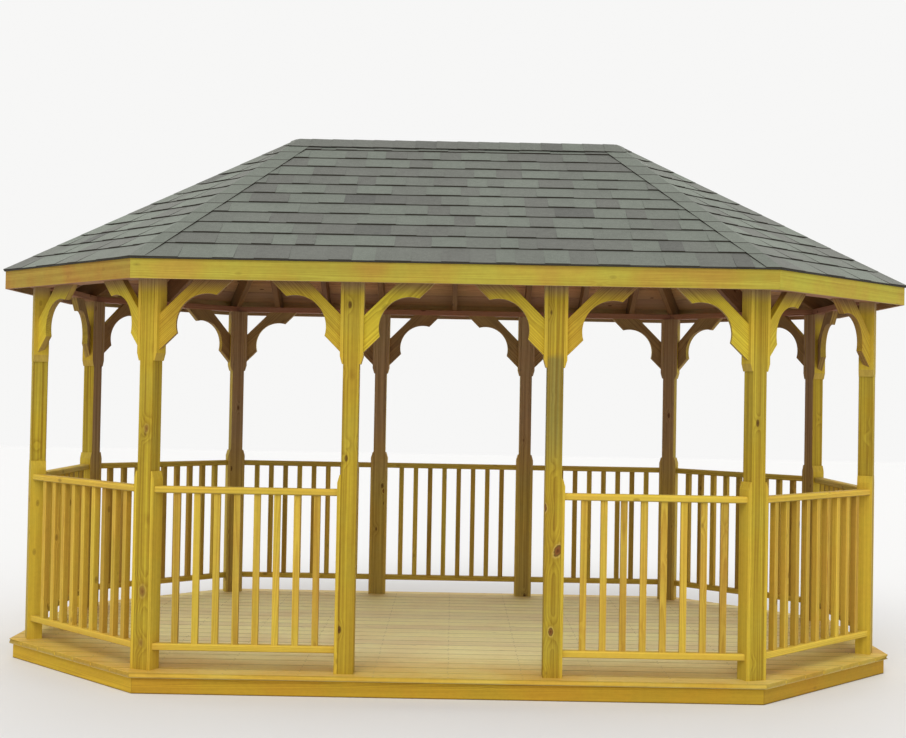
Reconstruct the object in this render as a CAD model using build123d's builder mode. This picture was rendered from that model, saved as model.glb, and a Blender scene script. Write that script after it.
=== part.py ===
from build123d import *
import os
from math import ceil, cos, radians, sin, tan

os.makedirs("parts", exist_ok=True)

# Driving dimensions, in millimetres
# Plan: an octagon of eight equal sides, drawn out lengthways by the bays of its long sides
width = 3048.0                # front rail line to back rail line
bay = 1118.0                  # post to post along a long side
long_bays = 3                 # bays in each long side

# Sawn timber sections
post_width = 89.0
post_edge = 3.0               # eased edge of a post
stud = 38.0                   # thickness of framing timber
wide_face = 89.0              # wide face of a plate or a joist
block_thickness = 19.0
rafter_depth = 140.0
ridge_depth = 184.0
roof_board = 19.0
fascia_thickness = 19.0
fascia_height = 114.0

# Floor
band_offset = 85.0            # rail line to the band's outer face
nosing = 22.0                 # overhang of the floor past the band
floor_thickness = 28.0
floor_edge = 6.0              # rounding of the floor's edges
joist_spacing = 406.0

# Posts and blocks
post_height = 2144.0          # floor to the underside of the top plate
upper_block_length = 455.0
block_taper_height = 42.0
block_tip = 7.0               # thickness left at a block's tapered end
lower_block_above_rail = 80.0

# Railings
rail_top = 1003.0             # floor to the top of the top rail
top_rail_height = 38.0
top_rail_depth = 64.0
top_rail_rounding = 12.0
bottom_rail_height = 38.0
bottom_rail_depth = 50.0
bottom_rail_rounding = 8.0
bottom_rail_gap = 107.0       # floor to the underside of the bottom rail
baluster = 35.0
baluster_edge = 2.5
baluster_spacing = 113.0      # greatest spacing, centre to centre

# Scroll braces, measured from the corner between block and plate
brace_leg = 390.0             # reach of the outer edge along block and plate
brace_throat = 186.0          # reach of the straight inner edge
brace_cusp = 88.0             # distance of each cusp from block or plate
brace_cove = 132.0            # distance of the cove's middle from block and plate

# Roof
pitch = 29.5                  # degrees, the same on all eight faces
eave = 174.0                  # rail line to the fascia's outer face
peak_block_flat = 40.0
peak_block_back = 30.0        # ridge end to the back of the peak block
peak_block_height = 200.0
last_common = 60.0            # ridge end to the last common rafter's centre
shingle_thickness = 8.0
shingle_lap = 12.0            # overhang of the shingles past the fascia
cap_width = 150.0             # ridge line to the cap's edge
cap_thickness = 6.0

# Clearances
joint_gap = 0.6               # between boards that meet at a mitre
slope_gap = 3.0               # between roof surfaces at a hip or the ridge
bearing_gap = 0.2             # under a roof surface that rests on hips and rafters

# Values worked out from the dimensions above
octant = 22.5
tan_octant = tan(radians(octant))
rise = tan(radians(pitch))
half_width = width / 2
half_straight = long_bays * bay / 2
octagon_side = width * tan_octant
reach = half_straight + half_width * (1 - tan_octant)
ridge_half = reach - half_width
floor_top = wide_face + floor_thickness
plate_bottom = floor_top + post_height
plate_top = plate_bottom + stud
face_offset = post_width / 2 + block_thickness
corner_setback = face_offset * tan_octant
corner_offset = face_offset / cos(radians(octant))
rafter_plumb = rafter_depth / cos(radians(pitch))
board_plumb = roof_board / cos(radians(pitch))
shingle_plumb = shingle_thickness / cos(radians(pitch))
cap_plumb = cap_thickness / cos(radians(pitch))
fascia_inside = eave - fascia_thickness
# Rafter tops meet the peak at this height when the seat cut is as long as the plate is wide
peak = plate_top + rafter_plumb + (half_width - wide_face / 2) * rise


# Plan geometry

def oval(offset):
    """Eight corners of the plan, this far outside the rail lines, anticlockwise from the front right."""
    half_depth = half_width + offset
    straight = half_straight + offset * tan_octant
    side = half_depth * tan_octant
    end = straight + half_depth - side
    quarter = [(straight, half_depth), (end, side)]
    front_right = [(x, -y) for x, y in quarter]
    back_right = [(x, y) for x, y in reversed(quarter)]
    back_left = [(-x, y) for x, y in quarter]
    front_left = [(-x, -y) for x, y in reversed(quarter)]
    return front_right + back_right + back_left + front_left


def side_ends(index, offset, trim=0.0):
    """Both ends of one side of the plan, each drawn in along the side by the trim."""
    corners = oval(offset)
    start = Vector(*corners[index])
    end = Vector(*corners[(index + 1) % 8])
    along = (end - start).normalized()
    return start + along * trim, end - along * trim


def side_plane(index, height=0.0):
    """A plane that stands on a side's rail line: X along the side, Y up, Z outwards."""
    start, end = side_ends(index, 0)
    along = (end - start).normalized()
    middle = (start + end) * 0.5
    outward = Vector(along.Y, -along.X, 0)
    return Plane(origin=(middle.X, middle.Y, height), x_dir=along, z_dir=outward)


def board_outline(index, inner, outer):
    """Plan of one board of a mitred ring, between two offsets from the rail line."""
    inner_start, inner_end = side_ends(index, inner, joint_gap / 2)
    outer_start, outer_end = side_ends(index, outer, joint_gap / 2)
    return [(p.X, p.Y) for p in (outer_start, outer_end, inner_end, inner_start)]


# Sides of the plan, by their place in the ring of corners
side_names = ["right_front", "right_end", "right_back", "back", "left_back", "left_end", "left_front", "front"]
front_side = side_names.index("front")
back_side = side_names.index("back")
right_sides = [side_names.index(name) for name in ("right_front", "right_end", "right_back")]
left_sides = [side_names.index(name) for name in ("left_back", "left_end", "left_front")]


# Posts: the eight corner posts are turned on the bisector of their corner

corner_turns = [-67.5, -22.5, 22.5, 67.5, 112.5, 157.5, 202.5, 247.5]
corner_names = ["post_front_4", "post_right_front", "post_right_back", "post_back_4",
                "post_back_1", "post_left_back", "post_left_front", "post_front_1"]


def corner_location(index):
    """Place of a corner post: its own X points out of the corner."""
    turn = corner_turns[index]
    corner = Vector(*oval(0)[index])
    inward = Vector(-cos(radians(turn)), -sin(radians(turn)), 0)
    centre = corner + inward * corner_setback
    return Location((centre.X, centre.Y, 0), (0, 0, turn))


post_locations = {name: corner_location(i) for i, name in enumerate(corner_names)}
for line, turn in (("front", -90), ("back", 90)):
    for number in (2, 3):
        x = (number - 2.5) * bay
        y = half_width * sin(radians(turn))
        post_locations[f"post_{line}_{number}"] = Location((x, y, 0), (0, 0, turn))


def post(name):
    """One square post from the floor to the plate, with eased edges."""
    with BuildPart() as piece:
        with BuildSketch(Plane.XY.offset(floor_top) * post_locations[name]):
            Rectangle(post_width, post_width)
        extrude(amount=post_height)
        chamfer(piece.edges().filter_by(Axis.Z), post_edge)
    return piece.part


posts = {name: post(name) for name in post_locations}


# Bays: each runs from post to post along one side, given by its ends on the side's own X axis

class Bay:
    """One bay: its side, the block faces that close it and how those faces are turned."""

    def __init__(self, side, low, high, low_corner, high_corner):
        self.side = side
        self.low_corner = low_corner
        self.high_corner = high_corner
        self.low = low + (corner_offset if low_corner else face_offset)
        self.high = high - (corner_offset if high_corner else face_offset)

    def end_plane(self, at_high):
        """The block's face at one end of the bay, with its normal out of the bay."""
        base = side_plane(self.side)
        position = self.high if at_high else self.low
        turn = octant if (self.high_corner if at_high else self.low_corner) else 0.0
        along = base.x_dir * (1 if at_high else -1)
        normal = along * cos(radians(turn)) - base.z_dir * sin(radians(turn))
        return Plane(origin=base.origin + base.x_dir * position, z_dir=normal)


def bays_of(side):
    """All bays of one side, in order along the side's own X axis."""
    if side not in (front_side, back_side):
        return [Bay(side, -octagon_side / 2, octagon_side / 2, True, True)]
    edges = [(n - long_bays / 2) * bay for n in range(long_bays + 1)]
    return [Bay(side, edges[n], edges[n + 1], n == 0, n == long_bays - 1) for n in range(long_bays)]


def cut_to_bay(solid, this_bay):
    """The part of a solid that lies between the two block faces of a bay."""
    with BuildPart() as piece:
        add(solid)
        split(bisect_by=this_bay.end_plane(False), keep=Keep.BOTTOM)
        split(bisect_by=this_bay.end_plane(True), keep=Keep.BOTTOM)
    return piece.part


# Blocks: flat boards nailed to the sides of a post, one to carry each brace and each pair of rails

def block(post_location, face_turn, low, high, taper_top):
    """One block on one side of a post, tapered at its top or its lower end."""
    half = (high - low) / 2
    turned = post_location * Location((0, 0, (low + high) / 2), (0, 0, face_turn))
    flip = 1 if taper_top else -1
    outline = [(post_width / 2, -half * flip), (face_offset, -half * flip),
               (face_offset, (half - block_taper_height) * flip),
               (post_width / 2 + block_tip, half * flip), (post_width / 2, half * flip)]
    with BuildPart() as piece:
        with BuildSketch(Plane.XZ.offset(-post_width / 2)):
            with BuildLine():
                Polyline(*outline, close=True)
            make_face()
        extrude(amount=post_width)
    return piece.part.moved(turned)


block_faces = [90, -90]
upper_block_low = plate_bottom - upper_block_length
lower_block_high = floor_top + rail_top + lower_block_above_rail
entrance_faces = [("post_front_2", 90), ("post_front_3", -90)]

upper_block_solids = []
lower_block_solids = []
for name, location in post_locations.items():
    for face in block_faces:
        upper_block_solids.append(block(location, face, upper_block_low, plate_bottom, False))
        if (name, face) not in entrance_faces:
            lower_block_solids.append(block(location, face, floor_top, lower_block_high, True))

with BuildPart() as brace_blocks:
    add(upper_block_solids)

with BuildPart() as rail_blocks:
    add(lower_block_solids)


# Railings: two rounded rails with square balusters between them

def rail(this_bay, height, depth, rounding, underside):
    """One rail along a bay, with its long edges rounded and its ends cut to the blocks."""
    plane = side_plane(this_bay.side, underside + height / 2)
    spare = top_rail_depth
    length = this_bay.high - this_bay.low + 2 * spare
    section = Plane(origin=plane.origin + plane.x_dir * (this_bay.low - spare),
                    x_dir=plane.z_dir, z_dir=plane.x_dir)
    with BuildPart() as piece:
        with BuildSketch(section):
            RectangleRounded(depth, height, rounding)
        extrude(amount=length)
    return cut_to_bay(piece.part, this_bay)


def railing(this_bay):
    """A whole railing panel: its rails joined by evenly spaced balusters."""
    clear = this_bay.high - this_bay.low
    count = ceil(clear / baluster_spacing) - 1
    low = floor_top + bottom_rail_gap + bottom_rail_height / 2
    high = floor_top + rail_top - top_rail_height / 2
    top_rail = rail(this_bay, top_rail_height, top_rail_depth, top_rail_rounding,
                    floor_top + rail_top - top_rail_height)
    bottom_rail = rail(this_bay, bottom_rail_height, bottom_rail_depth, bottom_rail_rounding,
                       floor_top + bottom_rail_gap)
    base = side_plane(this_bay.side, low)
    foot = Plane(origin=base.origin + base.x_dir * (this_bay.low + this_bay.high) / 2,
                 x_dir=base.x_dir, z_dir=(0, 0, 1))
    with BuildPart() as piece:
        with BuildSketch(foot):
            with GridLocations(clear / (count + 1), 0, count, 1):
                Rectangle(baluster, baluster)
        extrude(amount=high - low)
        chamfer(piece.edges().filter_by(Axis.Z), baluster_edge)
        add(top_rail)
        add(bottom_rail)
    return piece.part


# Every bay but the entrance, in the middle of the front, has a railing
railed_bays = {
    "railing_front_left": bays_of(front_side)[0],
    "railing_front_right": bays_of(front_side)[2],
    "railing_back_right": bays_of(back_side)[0],
    "railing_back_middle": bays_of(back_side)[1],
    "railing_back_left": bays_of(back_side)[2],
}
for side in right_sides + left_sides:
    railed_bays[f"railing_{side_names[side]}"] = bays_of(side)[0]

railings = {name: railing(this_bay) for name, this_bay in railed_bays.items()}


# Scroll braces: a straight inner edge at 45 degrees and a cove between two cusps outside

def brace(this_bay, at_high):
    """One brace between a block and the plate, cut to the block's face."""
    plane = side_plane(this_bay.side, plate_bottom)
    corner = this_bay.high if at_high else this_bay.low
    away = -1 if at_high else 1
    spare = stud / 2
    far_cusp = brace_leg - brace_cusp

    def point(out, down):
        return (corner + away * out, -down)

    with BuildPart() as piece:
        with BuildSketch(plane.offset(-stud / 2)):
            with BuildLine():
                Line(point(-spare, brace_throat + spare), point(-spare, brace_leg + spare))
                Line(point(-spare, brace_leg + spare), point(brace_cusp, far_cusp))
                ThreePointArc(point(brace_cusp, far_cusp), point(brace_cove, brace_cove),
                              point(far_cusp, brace_cusp))
                Line(point(far_cusp, brace_cusp), point(brace_leg, 0))
                Line(point(brace_leg, 0), point(brace_throat, 0))
                Line(point(brace_throat, 0), point(-spare, brace_throat + spare))
            make_face()
        extrude(amount=stud)
    return cut_to_bay(piece.part, this_bay)


def braces_along(sides):
    """Both braces of every bay on these sides."""
    return [brace(this_bay, at_high) for side in sides for this_bay in bays_of(side)
            for at_high in (False, True)]


brace_rows = {"braces_front": [front_side], "braces_back": [back_side],
              "braces_right": right_sides, "braces_left": left_sides}
braces = {name: braces_along(sides) for name, sides in brace_rows.items()}


# Rings of mitred boards: floor band, top plates and fascia

def ring_board(index, inner, outer, bottom, top):
    """One level board of a ring."""
    with BuildPart() as piece:
        with BuildSketch(Plane.XY.offset(bottom)):
            Polygon(*board_outline(index, inner, outer), align=None)
        extrude(amount=top - bottom)
    return piece.part


with BuildPart() as floor_band:
    add([ring_board(i, band_offset - stud, band_offset, 0, wide_face) for i in range(8)])

with BuildPart() as top_plates:
    add([ring_board(i, -wide_face / 2, wide_face / 2, plate_bottom, plate_top) for i in range(8)])


# Floor: joists between the band boards and the deck on top of them

joist_rows = int((reach + band_offset - stud) / joist_spacing)
with BuildPart() as floor_joists:
    with BuildSketch():
        with GridLocations(joist_spacing, 0, 2 * joist_rows + 1, 1):
            Rectangle(stud, width + 2 * band_offset)
    extrude(amount=wide_face)
    with BuildSketch():
        Polygon(*oval(band_offset - stud), align=None)
    extrude(amount=wide_face, mode=Mode.INTERSECT)

with BuildPart() as deck_floor:
    with BuildSketch(Plane.XY.offset(wide_face)):
        Polygon(*oval(band_offset + nosing), align=None)
    extrude(amount=floor_thickness)
    fillet(deck_floor.edges().group_by(Axis.Z)[-1] + deck_floor.edges().group_by(Axis.Z)[0], floor_edge)


# Roof planes: each face of the roof falls from the ridge at the same pitch

def roof_plane(index, lift):
    """The plane of one roof face, this far above the rafters' tops, with its normal outwards and up."""
    base = side_plane(index)
    outward = base.z_dir
    normal = outward * sin(radians(pitch)) + Vector(0, 0, cos(radians(pitch)))
    start = Vector(base.origin.X, base.origin.Y, peak + lift) - outward * half_width
    return Plane(origin=start, z_dir=normal)


def roof_slab(index, outline, low, high):
    """A slab that follows one roof face between two lifts, over an outline in plan."""
    with BuildPart() as piece:
        with BuildSketch():
            Polygon(*outline, align=None)
        extrude(amount=2 * peak)
        split(bisect_by=roof_plane(index, high), keep=Keep.BOTTOM)
        split(bisect_by=roof_plane(index, low), keep=Keep.TOP)
    return piece.part


def ridge_end(index):
    """The ridge end that a corner's hip runs to, in plan."""
    corner = Vector(*oval(0)[index % 8])
    return Vector(ridge_half if corner.X > 0 else -ridge_half, 0)


def face_outline(index, offset, gap):
    """Plan of one roof face down to an offset from the rail line, with half a gap left at each hip."""
    eave_start, eave_end = side_ends(index, offset)
    corners = [eave_start, eave_end]
    peak_end, peak_start = ridge_end(index + 1), ridge_end(index)
    corners.append(peak_end)
    if (peak_end - peak_start).length > gap:
        corners.append(peak_start)
    inset = []
    for n, corner in enumerate(corners):
        before = (corner - corners[n - 1]).normalized()
        after = (corners[(n + 1) % len(corners)] - corner).normalized()
        shift_before = 0 if n == 1 else gap / 2
        shift_after = 0 if n == 0 else gap / 2
        normal_before = Vector(-before.Y, before.X)
        cross = before.X * after.Y - before.Y * after.X
        dot = before.X * after.X + before.Y * after.Y
        along = (shift_after - shift_before * dot) / cross
        moved = corner + normal_before * shift_before - before * along
        inset.append((moved.X, moved.Y))
    return inset


board_low = bearing_gap
board_high = board_low + board_plumb
shingle_low = board_high
shingle_high = shingle_low + shingle_plumb
cap_low = shingle_high
cap_high = cap_low + cap_plumb

roof_sides = {"front": [front_side], "back": [back_side], "left": left_sides, "right": right_sides}


def roof_layer(sides, offset, low, high):
    """One layer of the roof on these sides."""
    return [roof_slab(i, face_outline(i, offset, slope_gap), low, high) for i in sides]


roof_boards = {f"roof_boards_{name}": roof_layer(sides, fascia_inside, board_low, board_high)
               for name, sides in roof_sides.items()}
shingles = {f"shingles_{name}": roof_layer(sides, eave + shingle_lap, shingle_low, shingle_high)
            for name, sides in roof_sides.items()}


# Fascia: its top is bevelled to the roof and covers the edge of the roof boards

fascia_top = peak + board_high - (half_width + eave) * rise


def fascia_board(index):
    """One fascia board, bevelled along its top."""
    with BuildPart() as piece:
        add(ring_board(index, fascia_inside, eave, fascia_top - fascia_height, peak))
        split(bisect_by=roof_plane(index, board_high), keep=Keep.BOTTOM)
    return piece.part


with BuildPart() as fascia:
    add([fascia_board(i) for i in range(8)])


# Ridge cap: one folded strip along the ridge; the hips are shingled without caps

ridge_cap_back = [(-ridge_half, 0), (ridge_half, 0), (ridge_half, cap_width), (-ridge_half, cap_width)]
ridge_cap_front = [(x, -y) for x, y in reversed(ridge_cap_back)]

with BuildPart() as ridge_cap:
    add(roof_slab(back_side, ridge_cap_back, cap_low, cap_high))
    add(roof_slab(front_side, ridge_cap_front, cap_low, cap_high))


# Rafters: plumb ends, a level seat over the plate and a level tail out to the fascia

def rafter(slope, drop, near, far):
    """A rafter in its own upright plane, with X running out from the ridge and its top dropped a little."""
    top = peak - drop
    plumb = rafter_depth * (1 + slope * slope) ** 0.5
    seat = (top - plumb - plate_top) / slope
    with BuildPart() as piece:
        with BuildSketch(Plane.XZ.offset(-stud / 2)):
            with BuildLine():
                Polyline((near, top - near * slope), (far, top - far * slope), (far, plate_top),
                         (seat, plate_top), (near, top - near * slope - plumb), close=True)
            make_face()
        extrude(amount=stud)
    return piece.part


def placed(solid, x, turn):
    """A rafter moved to its place on the ridge line and turned to its run."""
    return solid.moved(Location((x, 0, 0), (0, 0, turn)))


# Hips lie a little lower, so that their top corners meet the roof faces on both sides
hip_slope = rise * cos(radians(octant))
hip_drop = stud / 2 * sin(radians(octant)) * rise
hip_near = peak_block_flat / 2 / tan_octant
hip_far = (half_width + fascia_inside) / cos(radians(octant)) - stud / 2 * tan_octant

with BuildPart() as hip_rafters:
    for index, turn in enumerate(corner_turns):
        add(placed(rafter(hip_slope, hip_drop, hip_near, hip_far), ridge_end(index).X, turn))

common_far = half_width + fascia_inside
peak_block_radius = peak_block_flat / 2 / sin(radians(octant))
common_rows = [0, bay / 2, -bay / 2, ridge_half - last_common, last_common - ridge_half]


def jack(x, turn, hip_turns):
    """A rafter cut where it meets the side faces of the hips beside it."""
    end_x = ridge_half if x > 0 else -ridge_half
    with BuildPart() as piece:
        add(placed(rafter(rise, 0, peak_block_radius, common_far), x, turn))
        for hip_turn in hip_turns:
            away = 1 if sin(radians(turn - hip_turn)) > 0 else -1
            normal = Vector(-sin(radians(hip_turn)), cos(radians(hip_turn)), 0) * away
            face = Plane(origin=Vector(end_x, 0, 0) + normal * stud / 2, z_dir=normal)
            split(bisect_by=face, keep=Keep.TOP)
    return piece.part


jack_x = (ridge_half + half_straight) / 2
with BuildPart() as common_rafters:
    for x in common_rows:
        for turn in (-90, 90):
            add(placed(rafter(rise, 0, stud / 2, common_far), x, turn))
    for x, turn, corner in ((jack_x, -90, 0), (jack_x, 90, 3), (-jack_x, 90, 4), (-jack_x, -90, 7)):
        add(jack(x, turn, [corner_turns[corner]]))
    for side in right_sides + left_sides:
        hip_turns = corner_turns[side:side + 2]
        add(jack(ridge_end(side).X, sum(hip_turns) / 2, hip_turns))


# Ridge: a board between two peak blocks, whose flats carry the hips

ridge_top = peak - stud / 2 * rise
peak_block_top = peak - peak_block_radius * rise


def peak_block(end_x, direction):
    """Half an octagon with a square back, under the end of the ridge."""
    arc = [(direction * peak_block_radius * cos(radians(a)), peak_block_radius * sin(radians(a)))
           for a in (-90, -45, 0, 45, 90)]
    back = [(-direction * peak_block_back, peak_block_radius), (-direction * peak_block_back, -peak_block_radius)]
    with BuildPart() as piece:
        with BuildSketch(Plane.XY.offset(peak_block_top - peak_block_height)):
            with Locations((end_x, 0)):
                Polygon(*(arc + back), align=None)
        extrude(amount=peak_block_height)
    return piece.part


with BuildPart() as peak_blocks:
    add([peak_block(ridge_half, 1), peak_block(-ridge_half, -1)])

with BuildPart() as ridge_board:
    with BuildSketch(Plane.XY.offset(ridge_top - ridge_depth)):
        Rectangle(2 * (ridge_half - peak_block_back), stud)
    extrude(amount=ridge_depth)


# Labels and files

def write(name, solid):
    """One named node, written to its own file."""
    solid.label = name
    export_step(solid, f"parts/{name}.step")


def joined(solids):
    """Several solids that share a node."""
    with BuildPart() as group:
        add(solids)
    return group.part


floor_band.part.label = "floor_band"
export_step(floor_band.part, "parts/floor_band.step")
floor_joists.part.label = "floor_joists"
export_step(floor_joists.part, "parts/floor_joists.step")
deck_floor.part.label = "deck_floor"
export_step(deck_floor.part, "parts/deck_floor.step")
brace_blocks.part.label = "brace_blocks"
export_step(brace_blocks.part, "parts/brace_blocks.step")
rail_blocks.part.label = "rail_blocks"
export_step(rail_blocks.part, "parts/rail_blocks.step")
top_plates.part.label = "top_plates"
export_step(top_plates.part, "parts/top_plates.step")
hip_rafters.part.label = "hip_rafters"
export_step(hip_rafters.part, "parts/hip_rafters.step")
common_rafters.part.label = "common_rafters"
export_step(common_rafters.part, "parts/common_rafters.step")
peak_blocks.part.label = "peak_blocks"
export_step(peak_blocks.part, "parts/peak_blocks.step")
ridge_board.part.label = "ridge_board"
export_step(ridge_board.part, "parts/ridge_board.step")
fascia.part.label = "fascia"
export_step(fascia.part, "parts/fascia.step")
ridge_cap.part.label = "ridge_cap"
export_step(ridge_cap.part, "parts/ridge_cap.step")

for name, solid in posts.items():
    write(name, solid)
for name, solid in railings.items():
    write(name, solid)
for group in (braces, roof_boards, shingles):
    for name, solids in group.items():
        write(name, joined(solids))
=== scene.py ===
"""Garden gazebo: a timber shelter on a stretched octagon, with a boarded floor and a shingled roof.

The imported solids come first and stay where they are. Posts, blocks, joists, peak blocks and the ridge
board keep their solids. Every other timber and every shingle is a closed shell of its own, made from
the same plan and put where its solid is. All sizes are in metres: x runs along the gazebo, y from front
to back and z up.
"""
from __future__ import annotations

import logging
import math
from dataclasses import dataclass, field
from enum import Enum
from typing import Any, Callable, Sequence

import bpy
import numpy as np
from mathutils import Matrix
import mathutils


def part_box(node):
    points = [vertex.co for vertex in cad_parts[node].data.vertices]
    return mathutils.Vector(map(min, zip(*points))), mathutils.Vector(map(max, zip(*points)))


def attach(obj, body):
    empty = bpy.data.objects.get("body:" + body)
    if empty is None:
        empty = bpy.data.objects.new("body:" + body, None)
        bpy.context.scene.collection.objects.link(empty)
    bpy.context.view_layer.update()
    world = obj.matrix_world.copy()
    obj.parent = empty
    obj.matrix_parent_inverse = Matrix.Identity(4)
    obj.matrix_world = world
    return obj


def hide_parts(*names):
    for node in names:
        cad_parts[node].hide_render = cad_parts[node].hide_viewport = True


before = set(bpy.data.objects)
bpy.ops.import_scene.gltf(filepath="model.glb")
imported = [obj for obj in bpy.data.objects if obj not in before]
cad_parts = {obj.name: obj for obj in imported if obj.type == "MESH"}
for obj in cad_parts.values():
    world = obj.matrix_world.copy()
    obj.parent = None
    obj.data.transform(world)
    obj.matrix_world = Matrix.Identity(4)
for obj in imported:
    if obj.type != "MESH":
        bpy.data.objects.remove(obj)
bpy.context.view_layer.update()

log = logging.getLogger("gazebo")
Array = np.ndarray
Colour = tuple[float, float, float, float]
Cut = Callable[[Array, Array], Array]
Socket = bpy.types.NodeSocket
Vector = tuple[float, float, float]
Range = tuple[float, float]

# Sides are numbered round the plan. Each corner turns by twice its mitre.
SIDE_COUNT = 8
FRONT, BACK = 7, 3
ENDS = (1, 5)
ROOF_SIDES = {"front": (7,), "back": (3,), "right": (0, 1, 2), "left": (4, 5, 6)}
MITRE = math.radians(22.5)
TAN_MITRE = math.tan(MITRE)
SHARP_EDGE = math.radians(40)

# Depth at which the section of a tapering timber is drawn, before its edges are moved apart
NOMINAL = 0.1


def seeded(seed: int) -> Any:
    """A dataclass field that holds a random source of its own."""
    return field(default_factory=lambda: np.random.default_rng(seed))


# Plan and heights

@dataclass(frozen=True)
class Side:
    """One side of the plan: its roof face falls outwards from a ridge point or from the whole ridge."""

    ridge_x: float
    base_half: float
    angle: float

    def place(self, along: Array, out: Array, height: Array) -> Array:
        """World points: ridge point + along * (side direction) + out * (outward direction).

        Args:
            along: distance along the side from its middle.
            out: distance outwards from the ridge, in plan.
            height: height above the ground.

        Returns:
            Points with x, y and z in the last axis.
        """
        sin, cos = math.sin(self.angle), math.cos(self.angle)
        x = self.ridge_x - sin * along + cos * out
        y = cos * along + sin * out
        return np.stack(np.broadcast_arrays(x, y, height), -1)

    def hip(self, out: Array) -> Array:
        """Half length of the side at this distance from the ridge: base half + out * tan(22.5 degrees)."""
        return self.base_half + out * TAN_MITRE


@dataclass(frozen=True)
class Bay:
    """One bay between two posts, by the block faces that close it."""

    side: Side
    low: float
    high: float
    low_turned: bool
    high_turned: bool


@dataclass(frozen=True)
class Plan:
    """The stretched octagon and the heights that every piece follows."""

    width: float = 3.048
    bay: float = 1.118
    long_bays: int = 3
    post_width: float = 0.089
    stud: float = 0.038
    wide_face: float = 0.089
    block_thickness: float = 0.019
    floor_thickness: float = 0.028
    post_height: float = 2.144
    pitch: float = math.radians(29.5)
    rafter_depth: float = 0.140
    roof_board: float = 0.019
    eave: float = 0.174
    fascia_thickness: float = 0.019
    fascia_height: float = 0.114
    bearing_gap: float = 0.0002
    joint_gap: float = 0.0006

    @property
    def rise(self) -> float:
        """Rise of the roof for each metre in plan."""
        return math.tan(self.pitch)

    @property
    def half_width(self) -> float:
        """Middle of the floor to the front rail line."""
        return self.width / 2

    @property
    def ridge_half(self) -> float:
        """Half the length of the ridge."""
        return self.long_bays * self.bay / 2 - self.half_width * TAN_MITRE

    @property
    def eave_face(self) -> float:
        """Ridge to the face of the fascia, in plan."""
        return self.half_width + self.eave

    @property
    def eave_inside(self) -> float:
        """Ridge to the back of the fascia, in plan."""
        return self.eave_face - self.fascia_thickness

    @property
    def floor_top(self) -> float:
        """Height of the floor."""
        return self.wide_face + self.floor_thickness

    @property
    def plate_bottom(self) -> float:
        """Height of the underside of the top plates."""
        return self.floor_top + self.post_height

    @property
    def plate_top(self) -> float:
        """Height of the top of the top plates."""
        return self.plate_bottom + self.stud

    @property
    def peak(self) -> float:
        """Height at which the rafters' tops would meet over the ridge."""
        plumb = self.rafter_depth / math.cos(self.pitch)
        return self.plate_top + plumb + (self.half_width - self.wide_face / 2) * self.rise

    @property
    def board_high(self) -> float:
        """Height of the roof boards' top above the rafters' tops, measured plumb."""
        return self.bearing_gap + self.roof_board / math.cos(self.pitch)

    @property
    def face_offset(self) -> float:
        """Middle of a post to the face of the block on its side."""
        return self.post_width / 2 + self.block_thickness

    def side(self, index: int) -> Side:
        """One side of the plan.

        Args:
            index: its number. 0 is the right front, 1 the right end, 3 the back, 5 the left end and 7 the
                front.

        Returns:
            The side.
        """
        long_side = index in (FRONT, BACK)
        ridge_x = 0.0 if long_side else math.copysign(self.ridge_half, BACK - 0.5 - index)
        base_half = self.ridge_half if long_side else 0.0
        return Side(ridge_x, base_half, 2 * MITRE * (index - 1))

    def bays(self, index: int) -> list[Bay]:
        """All bays of one side, in order along it.

        Args:
            index: number of the side.

        Returns:
            One bay, or three on a long side. Block faces beside a corner post are turned 22.5 degrees.
        """
        side = self.side(index)
        half = float(side.hip(self.half_width))
        count = self.long_bays if side.base_half else 1
        edges = np.linspace(-half, half, count + 1)
        corner = self.face_offset / math.cos(MITRE)
        result = []
        for n in range(count):
            first, last = n == 0, n == count - 1
            low = edges[n] + (corner if first else self.face_offset)
            high = edges[n + 1] - (corner if last else self.face_offset)
            result.append(Bay(side, float(low), float(high), first, last))
        return result

    def distance(self, x: Array, y: Array) -> Array:
        """Distance out from the ridge: the largest of |y|, X and (X + |y|) / sqrt 2, X past its end."""
        past = np.maximum(np.abs(x) - self.ridge_half, 0)
        return np.maximum.reduce([np.abs(y), past, (past + np.abs(y)) / math.sqrt(2)])


PLAN = Plan()


# Meshes

@dataclass(frozen=True)
class Outline:
    """Outline of a board's section: its points (a, b), and how far each belongs to an edge, from 0 to 1."""

    points: Array
    edge: Array


def eased_outline(corners: Sequence[Sequence[float]], radius: float, steps: int = 3,
                  hold: float = 0.0015) -> Outline:
    """Outline of a board's section with its corners eased.

    Each corner C becomes the quadratic curve (1-t)^2 P + 2t(1-t) C + t^2 Q, where P and Q lie the radius
    away on its two edges. A holding point on each side of the curve keeps the flats shading flat.

    Args:
        corners: corners in order.
        radius: how far the easing reaches along each edge.
        steps: pieces in each curve.
        hold: distance of the holding points from the curve, or 0 for none.

    Returns:
        The outline, with weight 1 on the curves and 0 at the holding points.
    """
    corner = np.asarray(corners, float)
    back = np.roll(corner, 1, 0) - corner
    ahead = np.roll(corner, -1, 0) - corner
    back /= np.linalg.norm(back, axis=1, keepdims=True)
    ahead /= np.linalg.norm(ahead, axis=1, keepdims=True)
    t = np.linspace(0, 1, steps + 1)[None, :, None]
    start, end = (corner + back * radius)[:, None], (corner + ahead * radius)[:, None]
    rows = [(1 - t) ** 2 * start + 2 * t * (1 - t) * corner[:, None] + t ** 2 * end]
    weight = np.ones(steps + 1)
    if hold:
        reach = radius + hold
        rows = [(corner + back * reach)[:, None], *rows, (corner + ahead * reach)[:, None]]
        weight = np.concatenate([[0.0], weight, [0.0]])
    return Outline(np.concatenate(rows, axis=1).reshape(-1, 2), np.tile(weight, len(corner)))


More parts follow.
